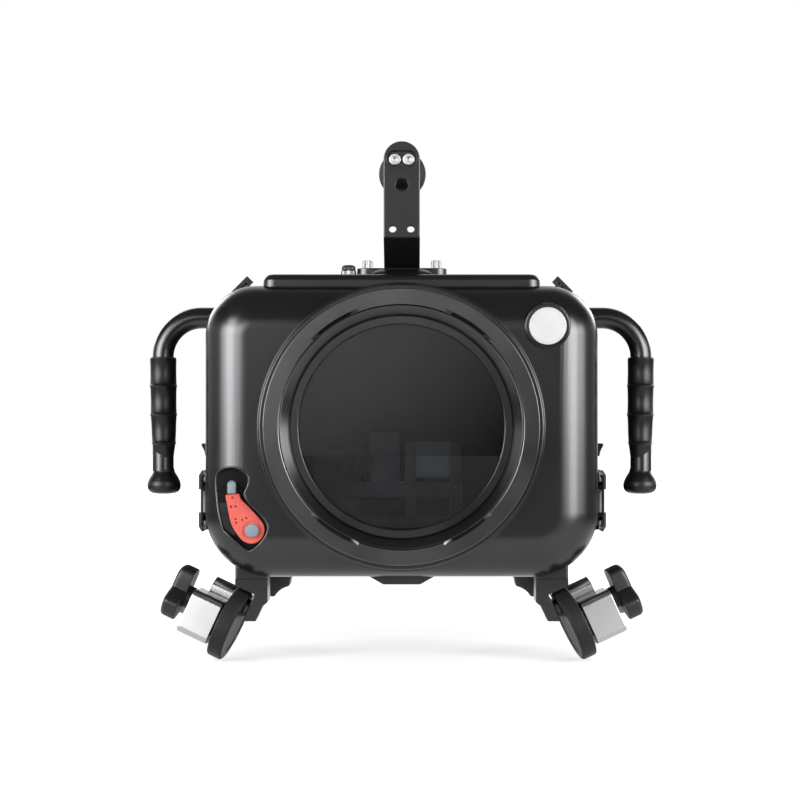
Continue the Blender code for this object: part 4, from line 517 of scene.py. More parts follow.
GRIP_PLASTIC = moulded("grip_plastic", "black_moulded", (0.006, 0.006, 0.0063), (0.011, 0.011, 0.0115),
                       (0.30, 0.40), 1200, Specular_IOR_Level=0.32)
# The pocket finish is painted shade: near black and dull, so that it stands in for the shade inside the deep
# lever pocket.
POCKET_PAINTED_SHADE = moulded("pocket_painted_shade", "black_moulded", (0.004, 0.004, 0.0043), (0.007, 0.007, 0.0073),
                       (0.40, 0.50), 1200, Specular_IOR_Level=0.12)
KNOB_PLASTIC = moulded("knob_plastic", "black_moulded", (0.009, 0.009, 0.0095), (0.015, 0.015, 0.016),
                       (0.26, 0.38), 1500, Specular_IOR_Level=0.36)
FOOT_RUBBER = moulded("foot_rubber", "rubber", (0.020, 0.020, 0.020), (0.032, 0.032, 0.032),
                      (0.34, 0.46), 700, 0.00002, Specular_IOR_Level=0.12)
SEAL_RUBBER = moulded("seal_rubber", "rubber", (0.010, 0.010, 0.010), (0.018, 0.018, 0.018),
                      (0.45, 0.6), 2500)
LEVER_RED = moulded("lever_red", "red_lever", (0.80, 0.125, 0.095), (0.87, 0.150, 0.115), (0.36, 0.46), 2200,
                    Coat_Weight=0.15, Coat_Roughness=0.25)
WHEEL_GREY = moulded("wheel_grey", "grey_plastic", (0.030, 0.032, 0.034), (0.045, 0.047, 0.050),
                     (0.40, 0.5), 2600)
HUB_GREY = moulded("hub_grey", "grey_plastic", (0.23, 0.29, 0.33), (0.27, 0.33, 0.38), (0.40, 0.5), 2600)
ENAMEL = moulded("badge_enamel", "badge_white", (0.74, 0.74, 0.74), (0.82, 0.82, 0.82), (0.30, 0.38), 400,
                 0.00001)
print("moulded finishes made")

# %% [markdown]
# ### Bare metal
#
# The weights are stainless steel, ground and then polished, so their noise is drawn out into fine streaks.
# The two bolts in the carry handle's post are bright too, the other screws are greyer, and the hooks and the
# drive shaft are dark. The camera's tray inside is blasted grey aluminium.

# %% Steel and inner metal
def steel(name, streak, low, high, sheen, depth=0.000008):
    finish = Finish(name, "stainless_steel", metallic=1.0)
    streaks = finish.noise(60, 5, finish.stretched(streak))
    clouds = finish.noise(18, 3)
    finish.tones(finish.sum(clouds, streaks, 0.5), low, high, 0.4, 1.0)
    finish.sheen(finish.sum(streaks, clouds, 0.4), *sheen)
    finish.relief(streaks, depth, rounding=0.0004)
    return finish.material


WEIGHT_STEEL = steel("weight_steel", (2, 14, 40), (0.41, 0.41, 0.412), (0.45, 0.45, 0.45), (0.20, 0.26),
                     0.000002)
SCREW_STEEL = steel("screw_steel", (20, 20, 4), (0.10, 0.10, 0.102), (0.16, 0.16, 0.16), (0.20, 0.30))
BOLT_STEEL = steel("bolt_steel", (20, 20, 4), (0.50, 0.50, 0.50), (0.58, 0.58, 0.58), (0.28, 0.38))
DARK_STEEL = steel("dark_steel", (20, 20, 4), (0.05, 0.05, 0.05), (0.08, 0.08, 0.08), (0.24, 0.34))


def inner_metal():
    finish = Finish("inner_metal", "grey_inner_metal", metallic=0.7)
    grain = finish.noise(1800, 2)
    mixed = finish.sum(finish.noise(25), grain, 0.3)
    finish.tones(mixed, (0.07, 0.07, 0.075), (0.11, 0.11, 0.115), 0.4, 0.9)
    finish.sheen(grain, 0.4, 0.5)
    finish.relief(grain, 0.00002, rounding=0.0004)
    return finish.material


INNER_METAL = inner_metal()
print("metal finishes made")

# %% [markdown]
# ### Glass
#
# The port is a thick flat glass in front of a dark hollow, so it reads as black with a faint sheen. The rear
# window is tinted acrylic. Both get an uneven roughness, as wiped glass has.

# %% Glass and acrylic
def clear(name, slot, low, high, ior):
    finish = Finish(name, slot, Transmission_Weight=1.0, IOR=ior)
    smears = finish.noise(35, 5)
    finish.tones(smears, low, high)
    finish.sheen(smears, 0.0, 0.012)
    finish.relief(finish.noise(12, 1), 0.000002, strength=0.5)
    return finish.material


PORT_GLASS = clear("port_glass_clear", "port_glass", (0.40, 0.41, 0.42), (0.46, 0.47, 0.48), 1.49)
ACRYLIC = clear("window_acrylic", "window_clear", (0.030, 0.034, 0.042), (0.040, 0.045, 0.055), 1.49)
print("clear finishes made")

# %% [markdown]
# ## The shells
#
# Each shell is milled from a block: a box with rounded corners, a large rounding round the front, a raised
# deck on top, and bosses wherever something is screwed on. It is the largest piece, so its roundings have
# many segments; a coarse one would break the long soft highlights along the sides.

# %% Sizes of the body
GAP = 0.0003
WALL = 0.008
BODY_HALF_WIDTH = 0.182
BODY_TOP = 0.131
BODY_BOTTOM = 0.139
BODY_DEPTH = 0.245
SPLIT = 0.150
TOP_CORNER = 0.047
BOTTOM_CORNER = 0.061
FRONT_EDGE = 0.042
REAR_EDGE = 0.018
DECK_HALF_WIDTH = 0.129
DECK_TOP = 0.1415
DECK_START = 0.012
DECK_END = 0.222
DECK_ROUND = 0.008
DECK_CORNER = 0.012
DECK_HOLLOW = 0.0151
FOOT_BOSS_DROP = 0.0026
FOOT_DEPTH = 0.065
REAR_FOOT_DEPTH = 0.205
FOOT_HALF_LENGTH = 0.015
FOOT_BOSS_ROUNDING = 0.0022
REAR_FOOT_OUTER_X = 0.150
REAR_FOOT_INNER_X = 0.1108


def body_block(inset, depth0, depth1, front_edge=0.0, rear_edge=0.0, corner_cuts=18, edge_cuts=18):
    """The body's outline, drawn in by an inset, between two depths."""
    shape = block(-BODY_HALF_WIDTH + inset, BODY_HALF_WIDTH - inset, depth0, depth1,
                  -BODY_BOTTOM + inset, BODY_TOP - inset)
    middle = AXIS + (BODY_TOP - BODY_BOTTOM) / 2
    for radius, upper in ((TOP_CORNER, True), (BOTTOM_CORNER, False)):
        corners = []
        for edge in shape.edges:
            first, second = (v.co for v in edge.verts)
            along = abs((first - second).normalized().y) > 0.999
            if along and (first.z > middle) == upper and abs(first.x) > BODY_HALF_WIDTH - inset - 1e-5:
                corners.append(edge)
        round_off(shape, corners, radius - inset, corner_cuts)
    for radius, depth in ((front_edge, depth0), (rear_edge, depth1)):
        if radius:
            round_off(shape, edges_at(shape, depth), radius, edge_cuts)
    return shape


# %% The raised deck
def plan_outline(half, near, far, near_round, far_round):
    """An outline seen from above, as x and depth, with its near and far corners rounded."""
    loop = []
    for x, y, radius, start in ((half, near, near_round, -90), (half, far, far_round, 0),
                                (-half, far, far_round, 90), (-half, near, near_round, 180)):
        middle = (x - radius if x > 0 else x + radius, y + radius if y == near else y - radius)
        loop += arc(*middle, radius, start, start + 90, 10) if radius else [(x, y)]
    return loop


def deck(start, end, top, front):
    """Lofted from outlines seen from above. The front deck's face is hollow up to a thin lip."""
    lip = start
    if front:
        foot = BODY_TOP - DECK_HOLLOW
        hollow = top - DECK_ROUND - foot
        levels = [(foot - WALL / 2, start, 0)]
        levels += [(height, depth, 0) for depth, height in arc(start, foot + hollow, hollow, -90, -8, 10)]
        lip = levels[-1][1]
    else:
        levels = [(BODY_TOP - WALL / 2, start, 0)]
    for y, z in arc(0, top - DECK_ROUND, DECK_ROUND, 15 if front else 0, 90, 10):
        inset = DECK_ROUND - y
        levels.append((z, lip + inset if front else start, inset))
    rows = []
    for height, near, inset in levels:
        far = end if front else end - inset
        rounds = (DECK_CORNER - inset, 0) if front else (0, DECK_CORNER - inset)
        outline = plan_outline(DECK_HALF_WIDTH - inset, near, far, *rounds)
        rows.append([at(x, depth, height) for x, depth in outline])
    return shape_from_rows(rows)


print("deck from", DECK_START, "to", DECK_END, "m behind the face")

# %% [markdown]
# Four draw latches hold the shells together: two on the upper corners, two on the flanks. Each sits in a
# frame of its own: X runs along its pivot, Y to the rear, and Z off its seat. A place along these three is
# called t, y and n. The rear shell carries a pad with two ears for the pivot, the front shell a small ridge
# that the hook pulls on. On the flanks the pad has slopes at its ends and a raised land behind it.

# %% Latch places, pads, ears and keepers
CORNER_SEAT = 0.0034
SIDE_SEAT = 0.0103
SIDE_RISE = 0.0655
SLOPE_HALF, SLOPE_ROOT = 0.0345, 0.0305
PAD_HALF = 0.0247
PIVOT_RISE = 0.0025
PIVOT_SETBACK = 0.006
EAR_INNER = 0.0193
EAR_OUTER = 0.024
PIN_RADIUS = 0.002


def latch_places():
    reach = TOP_CORNER * sin(radians(45))
    places = {}
    for side, word in ((-1, "left"), (1, "right")):
        corner = at(side * (BODY_HALF_WIDTH - TOP_CORNER + reach), SPLIT, BODY_TOP - TOP_CORNER + reach)
        flank = at(side * BODY_HALF_WIDTH, SPLIT, SIDE_RISE - BODY_BOTTOM)
        for name, place, angle, seat in (("top_", corner, 45, CORNER_SEAT), ("side_", flank, 90, SIDE_SEAT)):
            turn = Matrix.Rotation(side * radians(angle), 4, "Y")
            places[name + word] = Matrix.Translation(place) @ turn @ Matrix.Translation((0, 0, seat))
    return places


LATCHES = latch_places()


def latch_block(view, t0, t1, y0, y1, n0, n1):
    middle = Matrix.Translation(((t0 + t1) / 2, (y0 + y1) / 2, (n0 + n1) / 2))
    return cuboid(view @ middle, (t1 - t0, y1 - y0, n1 - n0))


def latch_outline(view, t0, t1, loop):
    return milled(loop, view @ Matrix.Translation(((t0 + t1) / 2, 0, 0)) @ SIDE_VIEW, t1 - t0)


def latch_seat_steps(rear):
    steps = []
    for name, view in LATCHES.items():
        down = -(CORNER_SEAT + WALL * 0.85) if name.startswith("top") else -(SIDE_SEAT + WALL * 0.6)
        if not rear:
            steps.append(("join", latch_block(view, -0.0105, 0.0105, -0.0077, -0.0042, down, 0.001)))
            continue
        pad = latch_block(view, -PAD_HALF, PAD_HALF, GAP / 2, 0.0098, down, 0)
        steps.append(("join", rounded(pad, 0.0006, segments=2)))
        if name.startswith("side"):
            slope, land = (
                [(-SLOPE_HALF, -SIDE_SEAT)] + [(-x, n) for x, n in half] + half[::-1]
                + [(SLOPE_HALF, -SIDE_SEAT), (SLOPE_ROOT, down), (-SLOPE_ROOT, down)]
                for half in ([(PAD_HALF, -0.0018)], [(0.0300, 0), (0.0285, 0.0040), (0.0240, 0.0056)]))
            for loop, middle, thickness, rounding in ((slope, 0.0049, 0.0094, 0.0008),
                                                      (land, 0.0325, 0.027, 0.0012)):
                place = view @ Matrix.Translation((0, middle, 0)) @ FRONT_VIEW
                steps.append(("join", rounded(milled(loop, place, thickness), rounding, angle=25)))
        ear = PIN_RADIUS + 0.0015
        loop = [(PIVOT_SETBACK - ear, -0.002), (PIVOT_SETBACK + ear, -0.002)]
        loop += arc(PIVOT_SETBACK, PIVOT_RISE, ear, 0, 180, 16)
        for sign in (-1, 1):
            t0, t1 = sorted((sign * EAR_INNER, sign * EAR_OUTER))
            steps.append(("join", latch_outline(view, t0, t1, loop)))
            start = view @ Vector((t0 - 0.001, PIVOT_SETBACK, PIVOT_RISE))
            along = view.to_3x3() @ Vector((1, 0, 0))
            steps.append(("cut", rod(start, along, PIN_RADIUS + GAP, t1 - t0 + 0.002, 20)))
    return steps


# %% [markdown]
# The front shell has the port's boss, a pocket for the red lever, a round pad for a badge, seats for the
# handles, and two bosses underneath for the feet. The vertical edges of those bosses are rounded well,
# because they catch two bright lines in the light.

# %% Front shell
BOSS_RADIUS = 0.129
BOSS_FRONT = -0.0065
BOSS_BACK = 0.034
SLEEVE_RADIUS = 0.120
BADGE_X = 0.1325
BADGE_HEIGHT = 0.0915
BADGE_RADIUS = 0.0169
BADGE_RIM = 0.0040
BADGE_STAND = 0.0025
HUB_X = -0.1358
HUB_HEIGHT = -0.0939
POCKET_FLOOR = 0.0125
POCKET_BACK = 0.024
RIM_ROUNDING = 0.0026
VALVE_X, VALVE_DEPTH = -0.0505, 0.075
PLATE_SCREW_X, PLATE_SCREW_DEPTH = 0.0326, 0.080
TUBE_DEPTH = 0.090
TUBE_HEIGHT = 0.1042
TUBE_RADIUS = 0.010
TUBE_SEAT_X = 0.1700
FOOT_OUTER_X = 0.1557
FOOT_INNER_X = 0.1253
POCKET = [(-0.0334, 0.0483), (-0.0319, 0.0228), (-0.0278, 0.0023), (-0.0235, -0.0026), (-0.0162, -0.0093),
          (-0.0035, -0.0191), (0.0060, -0.0137), (0.0125, -0.0060), (0.0148, 0.0012), (0.0131, 0.0080),
          (0.0061, 0.0169), (-0.0030, 0.0262), (-0.0062, 0.0330), (-0.0027, 0.0419), (-0.0035, 0.0495),
          (-0.0095, 0.0556), (-0.0180, 0.0578), (-0.0275, 0.0555)]


def from_hub(points):
    return [(HUB_X + x, HUB_HEIGHT + z) for x, z in points]


def mounting_boss(side, outer, inner, depth, rise):
    x0, x1 = sorted((side * outer, side * inner))
    boss = block(x0, x1, depth - FOOT_HALF_LENGTH, depth + FOOT_HALF_LENGTH,
                 -BODY_BOTTOM - FOOT_BOSS_DROP, -BODY_BOTTOM + rise)
    return round_off(boss, edges_along(boss, 2), FOOT_BOSS_ROUNDING, 6, clamp=True)


def front_cavity():
    left, right = (HUB_X + f(x for x, _ in POCKET) + s * WALL for f, s in ((min, -1), (max, 1)))
    low, high = (HUB_HEIGHT + f(z for _, z in POCKET) + s * WALL for f, s in ((min, -1), (max, 1)))
    steps = [("cut", block(left, right, 0, POCKET_BACK, low, high)),
             ("cut", rear_rod(0, 0, BOSS_FRONT, BOSS_BACK, BOSS_RADIUS, 96))]
    for side in (-1, 1):
        boss = rod(at(side * (TUBE_SEAT_X - WALL), TUBE_DEPTH, TUBE_HEIGHT), (side, 0, 0),
                   TUBE_RADIUS + WALL * 0.6, 0.05)
        steps.append(("cut", boss))
    return machined(body_block(WALL, WALL, SPLIT + WALL, FRONT_EDGE - WALL, 0, 8, 8), *steps)


def port_boss():
    """The round boss, its front edge chamfered and its root faired into the face by a small hollow."""
    edge, hollow = 0.0014, 0.0022
    profile = [(0, BOSS_FRONT)]
    profile += [(BOSS_RADIUS - edge + edge * sin(a), BOSS_FRONT + edge * (1 - cos(a)))
                for a in map(radians, range(0, 91, 15))]
    profile += [(BOSS_RADIUS + hollow * (1 - sin(a)), -hollow * (1 - cos(a)))
                for a in map(radians, (90, 60, 30, 0))]
    profile += [(BOSS_RADIUS + hollow, 0.001), (BOSS_RADIUS, 0.002), (BOSS_RADIUS, BOSS_BACK),
                (0, BOSS_BACK)]
    return turned(profile, at(0, 0, 0), 160)


def pocketed_body():
    """The body's front with the lever's pocket, whose rim is rounded for a gloved finger."""
    loop = smooth_loop(from_hub(POCKET), 4)
    body = body_block(0, 0, SPLIT - GAP / 2, FRONT_EDGE)
    body = machined(body, ("cut", from_front(loop, -WALL, POCKET_FLOOR)))
    outline = [Vector(point) for point in loop]

    def distance(place, a, b):
        nearest, share = intersect_point_line(place, a, b)
        if 0 <= share <= 1:
            return (place - nearest.to_2d()).length
        return min((place - a).length, (place - b).length)

    def on_rim(corner):
        place = Vector((corner.co.x, corner.co.z - AXIS))
        away = min(distance(place, a, b) for a, b in zip(outline, outline[1:] + outline[:1]))
        return away < 1e-5 and corner.co.y - FACE < POCKET_FLOOR - 1e-4

    rim = [e for e in sharp_edges(body, 25) if all(on_rim(v) for v in e.verts)
           and (e.verts[0].co - e.verts[1].co).xz.length > 1e-6]
    return round_off(body, rim, RIM_ROUNDING, 7, clamp=True)


def front_shell():
    pad = [(0, -BADGE_STAND), (BADGE_RADIUS + BADGE_RIM - 0.0016, -BADGE_STAND),
           (BADGE_RADIUS + BADGE_RIM - 0.0005, -BADGE_STAND + 0.0004),
           (BADGE_RADIUS + BADGE_RIM, -BADGE_STAND + 0.0014), (BADGE_RADIUS + BADGE_RIM, 0.012), (0, 0.012)]
    tab = [(-0.031, -BODY_BOTTOM + WALL / 2), (-0.031, -BODY_BOTTOM), (-0.0172, -BODY_BOTTOM - 0.0078),
           (0.0172, -BODY_BOTTOM - 0.0078), (0.031, -BODY_BOTTOM), (0.031, -BODY_BOTTOM + WALL / 2)]
    steps = [("join", port_boss()), ("join", deck(DECK_START, SPLIT - GAP / 2, DECK_TOP, True)),
             ("join", turned(pad, at(BADGE_X, 0, BADGE_HEIGHT), 72)),
             ("join", rounded(from_front(tab, 0.045, 0.105), 0.001))]
    steps += [("join", mounting_boss(side, FOOT_OUTER_X, FOOT_INNER_X, FOOT_DEPTH, WALL * 1.4))
              for side in (-1, 1)]
    steps += latch_seat_steps(rear=False)
    steps += [("cut", front_cavity()),
              ("cut", rear_rod(0, 0, BOSS_FRONT - WALL, BOSS_BACK + WALL, SLEEVE_RADIUS + GAP, 160)),
              ("cut", rear_rod(HUB_X, HUB_HEIGHT, POCKET_FLOOR - WALL, POCKET_BACK + WALL, 0.0063)),
              ("cut", rear_rod(BADGE_X, BADGE_HEIGHT, -2 * BADGE_STAND, 0.0012 - BADGE_STAND,
                               BADGE_RADIUS + GAP, 72)),
              ("cut", rod(at(VALVE_X, VALVE_DEPTH, BODY_TOP - 3 * WALL), UPWARD, 0.0042, 5 * WALL, 24))]
    for side in (-1, 1):
        steps.append(("cut", rod(at(side * TUBE_SEAT_X, TUBE_DEPTH, TUBE_HEIGHT), (side, 0, 0),
                                 TUBE_RADIUS + GAP, 0.04, 48)))
        screw_seat = at(side * PLATE_SCREW_X, PLATE_SCREW_DEPTH, DECK_TOP - 0.006)
        steps.append(("cut", rod(screw_seat, UPWARD, 0.0032, 0.02, 20)))
    return machined(pocketed_body(), *steps)


piece = show("shell_front", front_shell(), ANODISED, "front_shell", 30)
print("front shell faces:", len(piece.data.polygons))

# %% [markdown]
# The rear shell closes the box. It carries the window for the camera's screen, the drive knob, two push
# buttons, the pads of the latches, and a lug for a strap on each side.

# %% Rear shell
WINDOW_X = 0.0284
WINDOW_HEIGHT = -0.0334
WINDOW_HALF = (0.025, 0.0185)
WINDOW_THICKNESS = 0.0042
DRIVE_X = -0.0768
DRIVE_HEIGHT = -0.0347
SHAFT_HOLE = 0.0043
BUTTON_X = 0.118
BUTTON_HEIGHTS = {"upper": 0.006, "lower": -0.026}


def window_block(border, depth0, depth1):
    shape = block(WINDOW_X - WINDOW_HALF[0] - border, WINDOW_X + WINDOW_HALF[0] + border, depth0, depth1,
                  WINDOW_HEIGHT - WINDOW_HALF[1] - border, WINDOW_HEIGHT + WINDOW_HALF[1] + border)
    return round_off(shape, edges_along(shape, 1), 0.003 + border * 0.5, 8)


def body_loop(inset, cuts):
    side, top, bottom = BODY_HALF_WIDTH - inset, TOP_CORNER - inset, BOTTOM_CORNER - inset
    high, low = BODY_TOP - inset - top, -BODY_BOTTOM + inset + bottom
    corners = ((side - top, high, top), (top - side, high, top), (bottom - side, low, bottom),
               (side - bottom, low, bottom))
    return [point for i, corner in enumerate(corners) for point in arc(*corner, 90 * i, 90 * i + 90, cuts)]


def rear_shell():
    start = SPLIT + GAP / 2
    steps = [("join", deck(start, DECK_END, DECK_TOP - 0.001, False))]
    for side in (-1, 1):
        steps.append(("join", mounting_boss(side, REAR_FOOT_OUTER_X, REAR_FOOT_INNER_X, REAR_FOOT_DEPTH,
                                            WALL * 1.2)))
        fin = [(-0.004, -0.0163), (0.0165, -0.0163), (0.0176, -0.0170), (0.0172, -0.0188), (0.0155, -0.0218),
               (0.0142, -0.0250), (0.0136, -0.0290), (-0.004, -0.0320)]
        fin = [(side * (BODY_HALF_WIDTH + x), height) for x, height in fin]
        lug = rounded(from_front(fin, start + 0.004, start + 0.018), 0.0006)
        steps.append(("join", lug))
        steps.append(("cut", rod(at(side * (BODY_HALF_WIDTH + 0.0085), start + 0.011, -0.0365), UPWARD,
                                 0.003, 0.03, 24)))
    steps += latch_seat_steps(rear=True)
    steps.append(("cut", body_block(WALL, start - WALL, BODY_DEPTH - WALL, 0, REAR_EDGE - WALL, 8, 5)))
    groove = machined(from_front(body_loop(WALL / 2 - 0.0019, 8), start - WALL, start + 0.0038),
                      ("cut", from_front(body_loop(WALL / 2 + 0.0019, 8), start - 2 * WALL, start + WALL)))
    steps += [("cut", groove), ("cut", window_block(0, BODY_DEPTH - 2 * WALL, BODY_DEPTH + WALL)),
              ("cut", window_block(0.004 + GAP, BODY_DEPTH - WINDOW_THICKNESS - GAP, BODY_DEPTH + WALL))]
    shafts = [(DRIVE_X, DRIVE_HEIGHT)] + [(BUTTON_X, height) for height in BUTTON_HEIGHTS.values()]
    steps += [("cut", rear_rod(x, height, BODY_DEPTH - 2 * WALL, BODY_DEPTH + WALL, SHAFT_HOLE, 24))
              for x, height in shafts]
    return machined(body_block(0, start, BODY_DEPTH, 0, REAR_EDGE, 18, 8), *steps)


piece = show("shell_rear", rear_shell(), ANODISED, "rear_shell", 30)
print("rear shell faces:", len(piece.data.polygons))

# %% [markdown]
# ## The port
#
# The port turns a little in a bayonet mount to come off. All its rings are turned on a lathe, so a profile
# and a spin make them. The cone in front of the glass has a few grooves.

# %% Mount and barrel
LUG_ANGLE = radians(16)
LUG_PLACES = [radians(a) for a in (33, 147, 213, 327)]
LUG_TURN = radians(22)
FLANGE_BORE = 0.1104
BAYONET_RADIUS = 0.1166
NOTCH_RADIUS = 0.1134
CONE_GROOVES = 6
CONE_GROOVE_DEPTH = 0.0011


def ring_sector(inner, outer, angle, width, depth0, depth1):
    middle, half = 90 - degrees(angle), degrees(width) / 2
    loop = arc(0, 0, outer, middle - half, middle + half, 10)
    return from_front(loop + arc(0, 0, inner, middle + half, middle - half, 10), depth0, depth1)


def notch(middle):
    """A bayonet notch in the flange's lip; its ends slope down at 36 degrees."""
    slope = 0.0061 / tan(radians(36)) / BAYONET_RADIUS
    rows = []
    for depth, widening in ((-0.0125, slope * 1.41), (-0.0100, slope), (-0.0039, 0), (-0.0030, 0)):
        half = degrees(LUG_ANGLE / 2 + radians(0.75) + widening)
        start = 90 - degrees(middle)
        loop = arc(0, 0, NOTCH_RADIUS, start - half, start + half, 16)
        loop += arc(0, 0, FLANGE_BORE - 0.002, start + half, start - half, 16)
        rows.append([at(x, depth, z) for x, z in loop])
    return shape_from_rows(rows)


def mount_flange():
    profile = [(0.1242, -0.0100), (0.1246, -0.0099), (0.1249, -0.0096), (0.1250, -0.0092), (0.1250, -0.0068),
               (0.1200, -0.0068), (0.1200, 0.022), (0.1125, 0.022), (0.1125, 0.0031),
               (BAYONET_RADIUS, 0.0031), (BAYONET_RADIUS, -0.004), (FLANGE_BORE, -0.004),
               (FLANGE_BORE, -0.0090), (FLANGE_BORE + 0.0002, -0.0096), (FLANGE_BORE + 0.0008, -0.0100)]
    return machined(turned(profile, at(0, 0, 0), 192), *(("cut", notch(angle)) for angle in LUG_PLACES))


def port_barrel():
    outer, back, seat = 0.1116, 0.030, 0.0268
    rim, cone_front, cone_back, ledge = 0.1098, 0.1090, 0.1023, 0.0105
    grooves = []
    for i in range(2 * CONE_GROOVES):
        u = i / (2 * CONE_GROOVES)
        radius = cone_front + (cone_back - cone_front) * u + CONE_GROOVE_DEPTH * (i % 2)
        grooves.append((radius, -0.0092 + (ledge + 0.0088) * u))
    profile = [(cone_front, -0.0102), (cone_front + 0.0003, -0.0105), (rim - 0.0003, -0.0105),
               (rim, -0.0102), (rim, -0.0038), (outer, -0.0034), (outer, 0.0085), (0.1085, 0.0085),
               (0.1085, 0.0119), (outer, 0.0119), (outer, back), (0.0952, back), (0.0952, seat),
               (0.1021, seat), (0.1021, ledge)]
    steps = [("join", ring_sector(outer - 0.003, NOTCH_RADIUS - 0.0004, angle + LUG_TURN, LUG_ANGLE,
                                  -0.0037, 0.0025)) for angle in LUG_PLACES]
    return machined(turned(profile + grooves[::-1], at(0, 0, 0), 192), *steps)


show("flange_ring", mount_flange(), FLANGE_BLACK, "port_mount_flange", 25)
show("barrel_ring", port_barrel(), BARREL_BLACK, "port_barrel", 25)
print("bayonet lugs:", len(LUG_PLACES))

# %% [markdown]
# The glass is held by a flat retaining ring with two holes for a pin spanner. The glass has a polished
# chamfer, which is the thin pale circle round it.

# %% Glass, retaining ring and seals
GLASS_RADIUS = 0.1018
GLASS_BACK = GLASS_FRONT + 0.0097
RING_BACK = GLASS_FRONT - GAP
RING_FRONT = RING_BACK - 0.0035
ring_profile = [(0.0946, RING_FRONT), (0.0952, RING_FRONT), (0.1012, RING_FRONT),
                (GLASS_RADIUS, RING_FRONT + 0.0005), (GLASS_RADIUS, RING_BACK), (0.0940, RING_BACK),
                (0.0940, RING_BACK - 0.0012), (0.0941, RING_FRONT + 0.0008)]
spanner_holes = [("cut", rear_rod(x, 0, RING_FRONT - 0.001, RING_FRONT + 0.002, 0.0010, 20))
                 for x in (0.0979, -0.0979)]
show("retaining_ring", machined(turned(ring_profile, at(0, 0, 0), 192), *spanner_holes), BARREL_BLACK,
     "port_retaining_ring", 25)
glass_profile = [(0, GLASS_FRONT), (GLASS_RADIUS - 0.001, GLASS_FRONT), (GLASS_RADIUS, GLASS_FRONT + 0.001),
                 (GLASS_RADIUS, GLASS_BACK - 0.001), (GLASS_RADIUS - 0.001, GLASS_BACK), (0, GLASS_BACK)]
show("glass_disc", turned(glass_profile, at(0, 0, 0), 192), PORT_GLASS, "port_glass")
for name, node in (("glass_gasket", "port_glass_gasket"), ("barrel_seal", "port_barrel_o_ring"),
                   ("shell_seal", "main_o_ring")):
    show(name, from_cad(node, 0), SEAL_RUBBER, node, 50)
print("glass thickness %.1f mm" % (1000 * (GLASS_BACK - GLASS_FRONT)))

# %% [markdown]
# The badge place holds a plain enamelled disc. It is left bare: a fine groove near its rim is all it has.

# %% Badge disc
low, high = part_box("badge_disc")
DISC_FRONT, DISC_BACK = low.y - FACE, high.y - FACE
badge_profile = [(0, DISC_FRONT), (0.0145, DISC_FRONT), (0.0147, DISC_FRONT + 0.0003),
                 (0.0151, DISC_FRONT + 0.0003), (0.0153, DISC_FRONT), (BADGE_RADIUS - 0.0006, DISC_FRONT),
                 (BADGE_RADIUS, DISC_FRONT + 0.0004), (BADGE_RADIUS, DISC_BACK), (0, DISC_BACK)]
show("enamel_disc", turned(badge_profile, at(BADGE_X, 0, BADGE_HEIGHT), 96), ENAMEL, "badge_disc", 25)
print("badge disc %.1f mm across" % (2000 * BADGE_RADIUS))

# %% [markdown]
# ## The red lever
#
# A drop-shaped lever lies in its pocket. Its outline is a smooth line through a few points, and its edge is
# well rounded for a gloved finger. A groove runs round the hub, and small drilled dimples give it grip. The
# The pocket has a floor sheet with a rail. The sheet's near-black colour is painted shade of the deep
# pocket. A fine bead runs round the pocket's rim.

# %% Lever, hub cap and tip pin
LEVER_FRONT = 0.0040
LEVER_BACK = 0.0095
LEVER = [(-0.0233, 0.0326), (-0.0223, 0.0227), (-0.0194, 0.0080), (-0.0149, -0.0015), (-0.0080, -0.0096),
         (0.0000, -0.0122), (0.0080, -0.0090), (0.0118, -0.0010), (0.0106, 0.0058), (0.0061, 0.0120),
         (-0.0022, 0.0210), (-0.0095, 0.0282), (-0.0121, 0.0333)]
DIMPLES = [(-0.0177, 0.0297), (-0.0189, 0.0215), (-0.0146, 0.0219), (-0.0147, 0.0104), (-0.0143, 0.0070),
           (-0.0087, 0.0096), (-0.0049, 0.0112)]


def pocket_rim():
    """A fine bead round the pocket, laid on the body's own surface, which catches a line of light."""
    skin = BVHTree.FromBMesh(body_block(0, 0, SPLIT, FRONT_EDGE))
    line = []
    for x, z in smooth_loop(from_hub(POCKET), 4):
        touch = skin.ray_cast(at(x, -0.05, z), BACKWARD)[0]
        line.append(touch + BACKWARD * 0.0006)
    return bent_tube(line + line[:1], 0.0011, 16)


show("pocket_rim", pocket_rim(), ANODISED, "front_shell", 60)


def red_lever():
    shape = from_front(smooth_loop(from_hub(LEVER), 6)[:-5], LEVER_FRONT, LEVER_BACK)
    round_off(shape, edges_at(shape, LEVER_FRONT), 0.0009, 4)
    groove = [(0.0076, -0.001), (0.0086, -0.001), (0.0083, 0.0005), (0.0079, 0.0005)]
    steps = [("cut", turned(groove, at(HUB_X, LEVER_FRONT, HUB_HEIGHT), 64)),
             ("cut", rear_rod(HUB_X, HUB_HEIGHT, 0, 0.02, 0.0033))]
    cone = [(0, 0.0040), (0.0009, 0.0035), (0.0009, 0.0001), (0.0011, -0.0001), (0.0011, -0.001),
            (0, -0.001)]
    for x, z in from_hub(DIMPLES):
        steps.append(("cut", turned(cone, at(x, LEVER_FRONT, z), 16)))
    return machined(shape, *steps)


